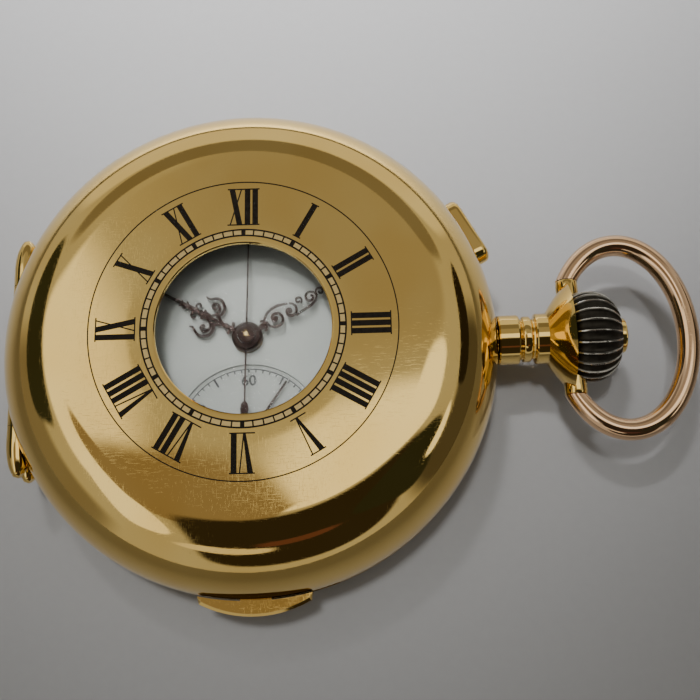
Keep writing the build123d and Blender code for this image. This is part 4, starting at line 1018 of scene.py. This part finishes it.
# ---- hands ---------------------------------------------------------------------------
hour_hand_low, minute_hand_low, centre_seconds_low, small_seconds_low = 12.8, 13.3, 13.8, 12.5
hand_thickness, seconds_thickness = 0.2, 0.12
stroke_step = 0.004


def curl(middle, start_radius, end_radius, first, sweep, steps=28):
    """Points of a spiral curl about a middle, in the hand's own (along, across) plane."""
    points = []
    for step in range(steps + 1):
        share = step / steps
        radius = start_radius + (end_radius - start_radius) * share
        points.append(polar(radius, first + sweep * share, middle))
    return points


def swelling(count, thin, thick):
    """Widths along a stroke that are thick in the middle and thin at the ends."""
    return [thin + (thick - thin) * sin(pi * index / (count - 1)) for index in range(count)]


def stroke(points, thin, thick, low, high):
    """A ribbon with swelling widths."""
    return ribbon(points, swelling(len(points), thin, thick), low, high)


def mirrored(points):
    """The same points on the other side of the hand's own axis."""
    return [(x, -y) for x, y in points]


def ball(middle, radius, low, high):
    """A small flat knob at the end of a curl."""
    return slab(arc(middle, radius, radius, 0, 345, 23), low, high)


def hub(radius, bore, low, high, rim):
    """A domed hub with a raised rim, turned about the centre."""
    outline = [
        (bore, low), (radius, low), (radius, high), (radius - 0.12, high + rim),
        (radius - 0.3, high + rim), (radius - 0.42, high + rim * 0.4),
        (bore + 0.12, high + rim), (bore, high + rim),
    ]
    return lathe(outline, 96)


def hour_hand():
    """Hour hand: crossbar, two large C-scrolls, two small ones, barbs and a slim tip."""
    low, high = hour_hand_low, hour_hand_low + hand_thickness
    parts = [hub(1.6, 1.36, low, high, 0.06)]
    for flip in (False, True):
        strokes = [
            ([(1.85, 0.0), (1.9, 0.4), (2.02, 0.72)], 0.3, 0.34),
            (curl((4.55, 1.2), 1.02, 1.0, 235, -200, 30), 0.24, 0.32),
            ([(5.3, 1.85), (5.6, 1.74), (5.98, 1.82)], 0.12, 0.28),
            ([(2.9, 0.05), (3.4, 0.28), (3.85, 0.6)], 0.2, 0.28),
            (curl((4.62, 1.15), 0.98, 0.2, -40, -330, 34), 0.2, 0.28),
            ([(4.3, 0.1), (5.0, 0.2), (5.8, 0.22)], 0.2, 0.3),
            (curl((6.12, 0.58), 0.36, 0.16, -100, 300, 18), 0.2, 0.24),
            ([(7.0, 0.08), (7.3, 0.2), (7.5, 0.46)], 0.12, 0.3),
            ([(7.7, 0.05), (7.95, 0.16), (8.1, 0.36)], 0.08, 0.24),
        ]
        for index, (points, thin, thick) in enumerate(strokes):
            path = mirrored(points) if flip else points
            parts.append(stroke(path, thin, thick, low, high - stroke_step * index))
        knob = (4.66, -1.14) if flip else (4.66, 1.14)
        parts.append(ball(knob, 0.24, low, high + 0.01))
    spine = [(x, 0.0) for x in (1.5, 2.1, 2.55, 3.0, 4.2, 5.2, 6.5, 7.3, 8.2, 12.0)]
    widths = [0.4, 0.44, 0.6, 0.34, 0.3, 0.34, 0.5, 0.5, 0.36, 0.12]
    parts.append(ribbon(spine, widths, low, high + 0.02))
    solid = moved(joined(*parts), Matrix.Rotation(radians(hour_angle), 4, "Z"))
    piece = make_piece("hour_hand_scrolls", solid, gilt_hand)
    settle(piece, "hour_hand", "gilt_hand", "hour_hand")


def minute_hand():
    """Minute hand: collar, one large filigree scroll, then two S-scrolls and a slim tip."""
    low, high = minute_hand_low, minute_hand_low + hand_thickness
    parts = [hub(1.35, 0.96, low, high, 0.06)]
    top_line = [(2.1, 0.1), (2.4, 0.52), (3.0, 0.98), (3.6, 1.16)]
    top_line += [(4.3, 1.14), (4.85, 1.0), (5.35, 0.78)]
    sweep = [(5.5, -0.84), (6.1, -0.72), (6.7, -0.7), (7.4, -0.66), (8.0, -0.45), (8.4, -0.1)]
    strokes = [
        (curl((2.0, 0.34), 0.26, 0.2, -150, 280, 14), 0.2, 0.26),
        (curl((2.0, -0.34), 0.26, 0.2, 150, -280, 14), 0.2, 0.26),
        (top_line, 0.18, 0.3),
        (curl((3.5, -0.02), 1.0, 0.2, 185, 440, 44), 0.18, 0.3),
        (curl((5.2, -0.05), 0.84, 0.16, 70, -400, 34), 0.18, 0.3),
        (curl((6.5, 0.5), 0.4, 0.14, -80, 400, 24), 0.16, 0.24),
        (sweep, 0.16, 0.28),
        (curl((7.75, 0.16), 0.68, 0.18, -20, 440, 34), 0.16, 0.26),
        (curl((8.95, 0.2), 0.5, 0.14, 210, -420, 28), 0.14, 0.24),
        (curl((9.8, -0.1), 0.42, 0.14, 130, 400, 26), 0.12, 0.2),
    ]
    for index, (points, thin, thick) in enumerate(strokes):
        parts.append(stroke(points, thin, thick, low, high - stroke_step * index))
    parts.append(ball((3.5, -0.02), 0.26, low, high + 0.01))
    parts.append(ball((5.2, -0.05), 0.24, low, high + 0.01))
    spine = [(1.2, 0.0), (2.1, 0.0), (2.6, 0.0)]
    parts.append(ribbon(spine, [0.5, 0.6, 0.36], low, high + 0.02))
    point = [(10.0, 0.2), (10.6, 0.0), (11.6, 0.0), (17.0, 0.0)]
    parts.append(ribbon(point, [0.16, 0.34, 0.26, 0.08], low, high + 0.02))
    solid = moved(joined(*parts), Matrix.Rotation(radians(minute_angle), 4, "Z"))
    piece = make_piece("minute_hand_scrolls", solid, gilt_hand)
    settle(piece, "minute_hand", "gilt_hand", "minute_hand")


def centre_seconds():
    """The fine centre seconds hand with a spade counterpoise and a domed boss."""
    low, high = centre_seconds_low, centre_seconds_low + seconds_thickness
    needle = ribbon([(-7.2, 0), (0, 0), (19.0, 0)], [0.16, 0.18, 0.09], low, high)
    spade = [(-7.1, 0.1), (-7.35, 0.34), (-7.9, 0.42), (-8.4, 0.36), (-8.7, 0.24)]
    spade += [(-8.9, 0.34), (-9.2, 0.38), (-9.42, 0.24), (-9.5, 0.0)]
    outline = spade + [(x, -y) for x, y in reversed(spade[:-1])]
    boss_outline = [(0.26, low), (0.9, low), (0.9, 13.94), (0.82, 14.02)]
    boss_outline += [(0.6, 14.08), (0.26, 14.1)]
    solid = joined(needle, slab(outline, low, high + 0.01), lathe(boss_outline, 64))
    solid = moved(solid, Matrix.Rotation(radians(centre_seconds_angle), 4, "Z"))
    piece = make_piece("centre_seconds_needle", solid, gilt_hand)
    settle(piece, "chronograph", "gilt_hand", "centre_seconds_hand")


def small_seconds():
    """The plain small seconds hand."""
    low, high = small_seconds_low, small_seconds_low + seconds_thickness
    needle = ribbon([(-1.8, 0), (0, 0), (6.9, 0)], [0.36, 0.3, 0.2], low, high)
    crest = high + 0.03
    boss = lathe([(0.2, low), (0.55, low), (0.55, high), (0.45, crest), (0.2, crest)], 48)
    turn = Matrix.Rotation(radians(small_seconds_angle), 4, "Z")
    solid = moved(joined(needle, boss), Matrix.Translation((*subdial_axis, 0)) @ turn)
    piece = make_piece("small_seconds_needle", solid, gilt_hand)
    settle(piece, "fourth_wheel", "gilt_hand", "small_seconds_hand")


# ---- stage, light and camera ---------------------------------------------------------
def stage_floor():
    """A plain pale floor just below the watch."""
    half = 2.0
    mesh = bpy.data.meshes.new("floor")
    corners = [(-half, -half, 0), (half, -half, 0), (half, half, 0), (-half, half, 0)]
    mesh.from_pydata(corners, [], [(0, 1, 2, 3)])
    mesh.materials.append(floor_material())
    floor = bpy.data.objects.new("floor", mesh)
    floor.location.z = -0.00005
    bpy.context.scene.collection.objects.link(floor)


# The studio round the watch, seen as reflections in the metal: rounded patches, each
# with a direction, a half size along each axis, an edge softness, a level and a tint.
cream, warm, brown, olive = (1.0, 0.97, 0.9), (1.0, 0.93, 0.82), (1.0, 0.82, 0.62), (0.9, 1.0, 0.72)
studio_patches = (
    ("ceiling far side", (0.18, 0.5, 0.85), (0.36, 0.24, 0.25), 0.2, 0.34, warm),
    ("dim ceiling edge", (0.06, 0.74, 0.63), (0.7, 0.25, 0.15), 0.08, 0.2, warm),
    ("pale far wall", (0.06, 0.98, 0.02), (0.74, 0.42, 0.45), 0.06, 0.74, cream),
    ("near left wall", (-1.0, -0.2, 0.1), (0.3, 0.5, 0.34), 0.2, 0.2, warm),
    ("bright ceiling left", (-0.45, 0.07, 0.85), (0.24, 0.34, 0.3), 0.1, 1.2, cream),
    ("dark doorway left", (-0.86, 0.3, 0.47), (0.2, 0.36, 0.22), 0.06, 0.035, olive),
    ("bright ceiling right", (0.26, 0.08, 0.95), (0.36, 0.16, 0.22), 0.08, 1.35, cream),
    ("near right wall", (0.97, -0.15, 0.2), (0.28, 0.5, 0.28), 0.2, 0.08, warm),
    ("dark corner right", (0.88, 0.3, 0.4), (0.12, 0.32, 0.12), 0.06, 0.02, brown),
    ("brown cloth", (-0.25, -0.08, 0.97), (0.2, 0.26, 0.25), 0.05, 0.26, brown),
    ("dark camera side", (0.16, -0.6, 0.62), (0.52, 0.52, 0.5), 0.05, 0.03, brown),
    ("dark camera side right", (0.58, -0.38, 0.6), (0.24, 0.26, 0.34), 0.06, 0.03, olive),
    ("bright strip low left", (-0.54, -0.4, 0.74), (0.12, 0.24, 0.22), 0.06, 1.2, cream),
    ("lamp glint low", (-0.24, -0.79, 0.56), (0.26, 0.08, 0.07), 0.12, 0.75, warm),
    ("lamp glint right", (0.8, -0.24, 0.52), (0.06, 0.15, 0.06), 0.12, 1.3, cream),
    ("red cloth", (0.14, -0.72, 0.68), (0.2, 0.06, 0.05), 0.2, 0.12, (1.0, 0.45, 0.4)),
)
studio_base = 0.46


def vector_step(tree, operation, first):
    """A vector math node with its first input linked."""
    made = tree.nodes.new("ShaderNodeVectorMath")
    made.operation = operation
    tree.links.new(first, made.inputs[0])
    return made


def studio_world():
    """The soft surroundings: a pale sky with broad light and dark patches."""
    world = bpy.data.worlds.new("studio")
    world.use_nodes = True
    bpy.context.scene.world = world
    tree = world.node_tree
    nodes, links = tree.nodes, tree.links
    back = nodes["Background"]
    direction = nodes.new("ShaderNodeTexCoord").outputs["Generated"]
    base = nodes.new("ShaderNodeRGB")
    base.outputs[0].default_value = rgb(*[studio_base * c for c in cream])
    colour = base.outputs[0]
    for _, middle, size, softness, level, tint in studio_patches:
        offset = vector_step(tree, "SUBTRACT", direction)
        offset.inputs[1].default_value = middle
        scaled = vector_step(tree, "DIVIDE", offset.outputs[0])
        scaled.inputs[1].default_value = size
        squared = vector_step(tree, "MULTIPLY", scaled.outputs[0])
        links.new(scaled.outputs[0], squared.inputs[1])
        length = vector_step(tree, "LENGTH", squared.outputs[0])
        weight = nodes.new("ShaderNodeMapRange")
        weight.interpolation_type = "SMOOTHSTEP"
        links.new(length.outputs["Value"], weight.inputs["Value"])
        weight.inputs["From Min"].default_value = 1 + 2 * softness
        weight.inputs["From Max"].default_value = 1 - 2 * softness
        mix = nodes.new("ShaderNodeMix")
        mix.data_type = "RGBA"
        links.new(weight.outputs["Result"], mix.inputs["Factor"])
        links.new(colour, mix.inputs["A"])
        mix.inputs["B"].default_value = rgb(*[level * c for c in tint])
        colour = mix.outputs["Result"]
    links.new(colour, back.inputs["Color"])
    back.inputs["Strength"].default_value = 1.0


def soft_spot(name, place, target, spread, softness, power, colour):
    """A soft round light with a fading edge, left out of the reflections."""
    lamp = bpy.data.lights.new(name, "SPOT")
    lamp.spot_size = radians(spread)
    lamp.spot_blend = 1.0
    lamp.shadow_soft_size = softness
    lamp.energy = power
    lamp.color = colour
    holder = bpy.data.objects.new(name, lamp)
    bpy.context.scene.collection.objects.link(holder)
    holder.location = place
    aim = Vector(target) - Vector(place)
    holder.rotation_euler = aim.to_track_quat("-Z", "Y").to_euler()
    holder.visible_glossy = False


def photo_camera():
    """The camera at the photograph's view: nearly straight down on the lid."""
    target = Vector((10.564, -0.365, 7.4)) * MM
    toward = -Vector((0.013, -0.2672, 0.9636)).normalized()
    distance = 115.887 * MM
    roll = -0.038
    level = toward.cross(Vector((0, 1, 0))).normalized()
    upright = level.cross(toward)
    right = level * cos(roll) + upright * sin(roll)
    up = upright * cos(roll) - level * sin(roll)
    lens = bpy.data.cameras.new("camera")
    lens.lens = 54.7
    lens.sensor_width = 36.0
    lens.clip_start = 0.005
    holder = bpy.data.objects.new("camera", lens)
    bpy.context.scene.collection.objects.link(holder)
    turn = Matrix((right, up, -toward)).transposed().to_4x4()
    holder.matrix_world = Matrix.Translation(target - toward * distance) @ turn
    bpy.context.scene.camera = holder


dress_nodes()
front_lid()
back_lid()
case_band()
pendant()
bow()
crown()
crown_button()
pusher()
slide()
lid_enamel()
lid_track_cells()
dial_markings()
seconds_markings()
hour_hand()
minute_hand()
centre_seconds()
small_seconds()
stage_floor()
studio_world()
soft_spot("key", (-0.08, 0.3, 0.46), (0.0, 0.14, 0.0), 21.5, 0.08, 125.0, (1.0, 0.99, 0.98))
soft_spot("overhead", (-0.03, 0.05, 0.5), (0.0, 0.0, 0.0), 8.0, 0.05, 19.0, (1.0, 1.0, 0.98))
photo_camera()
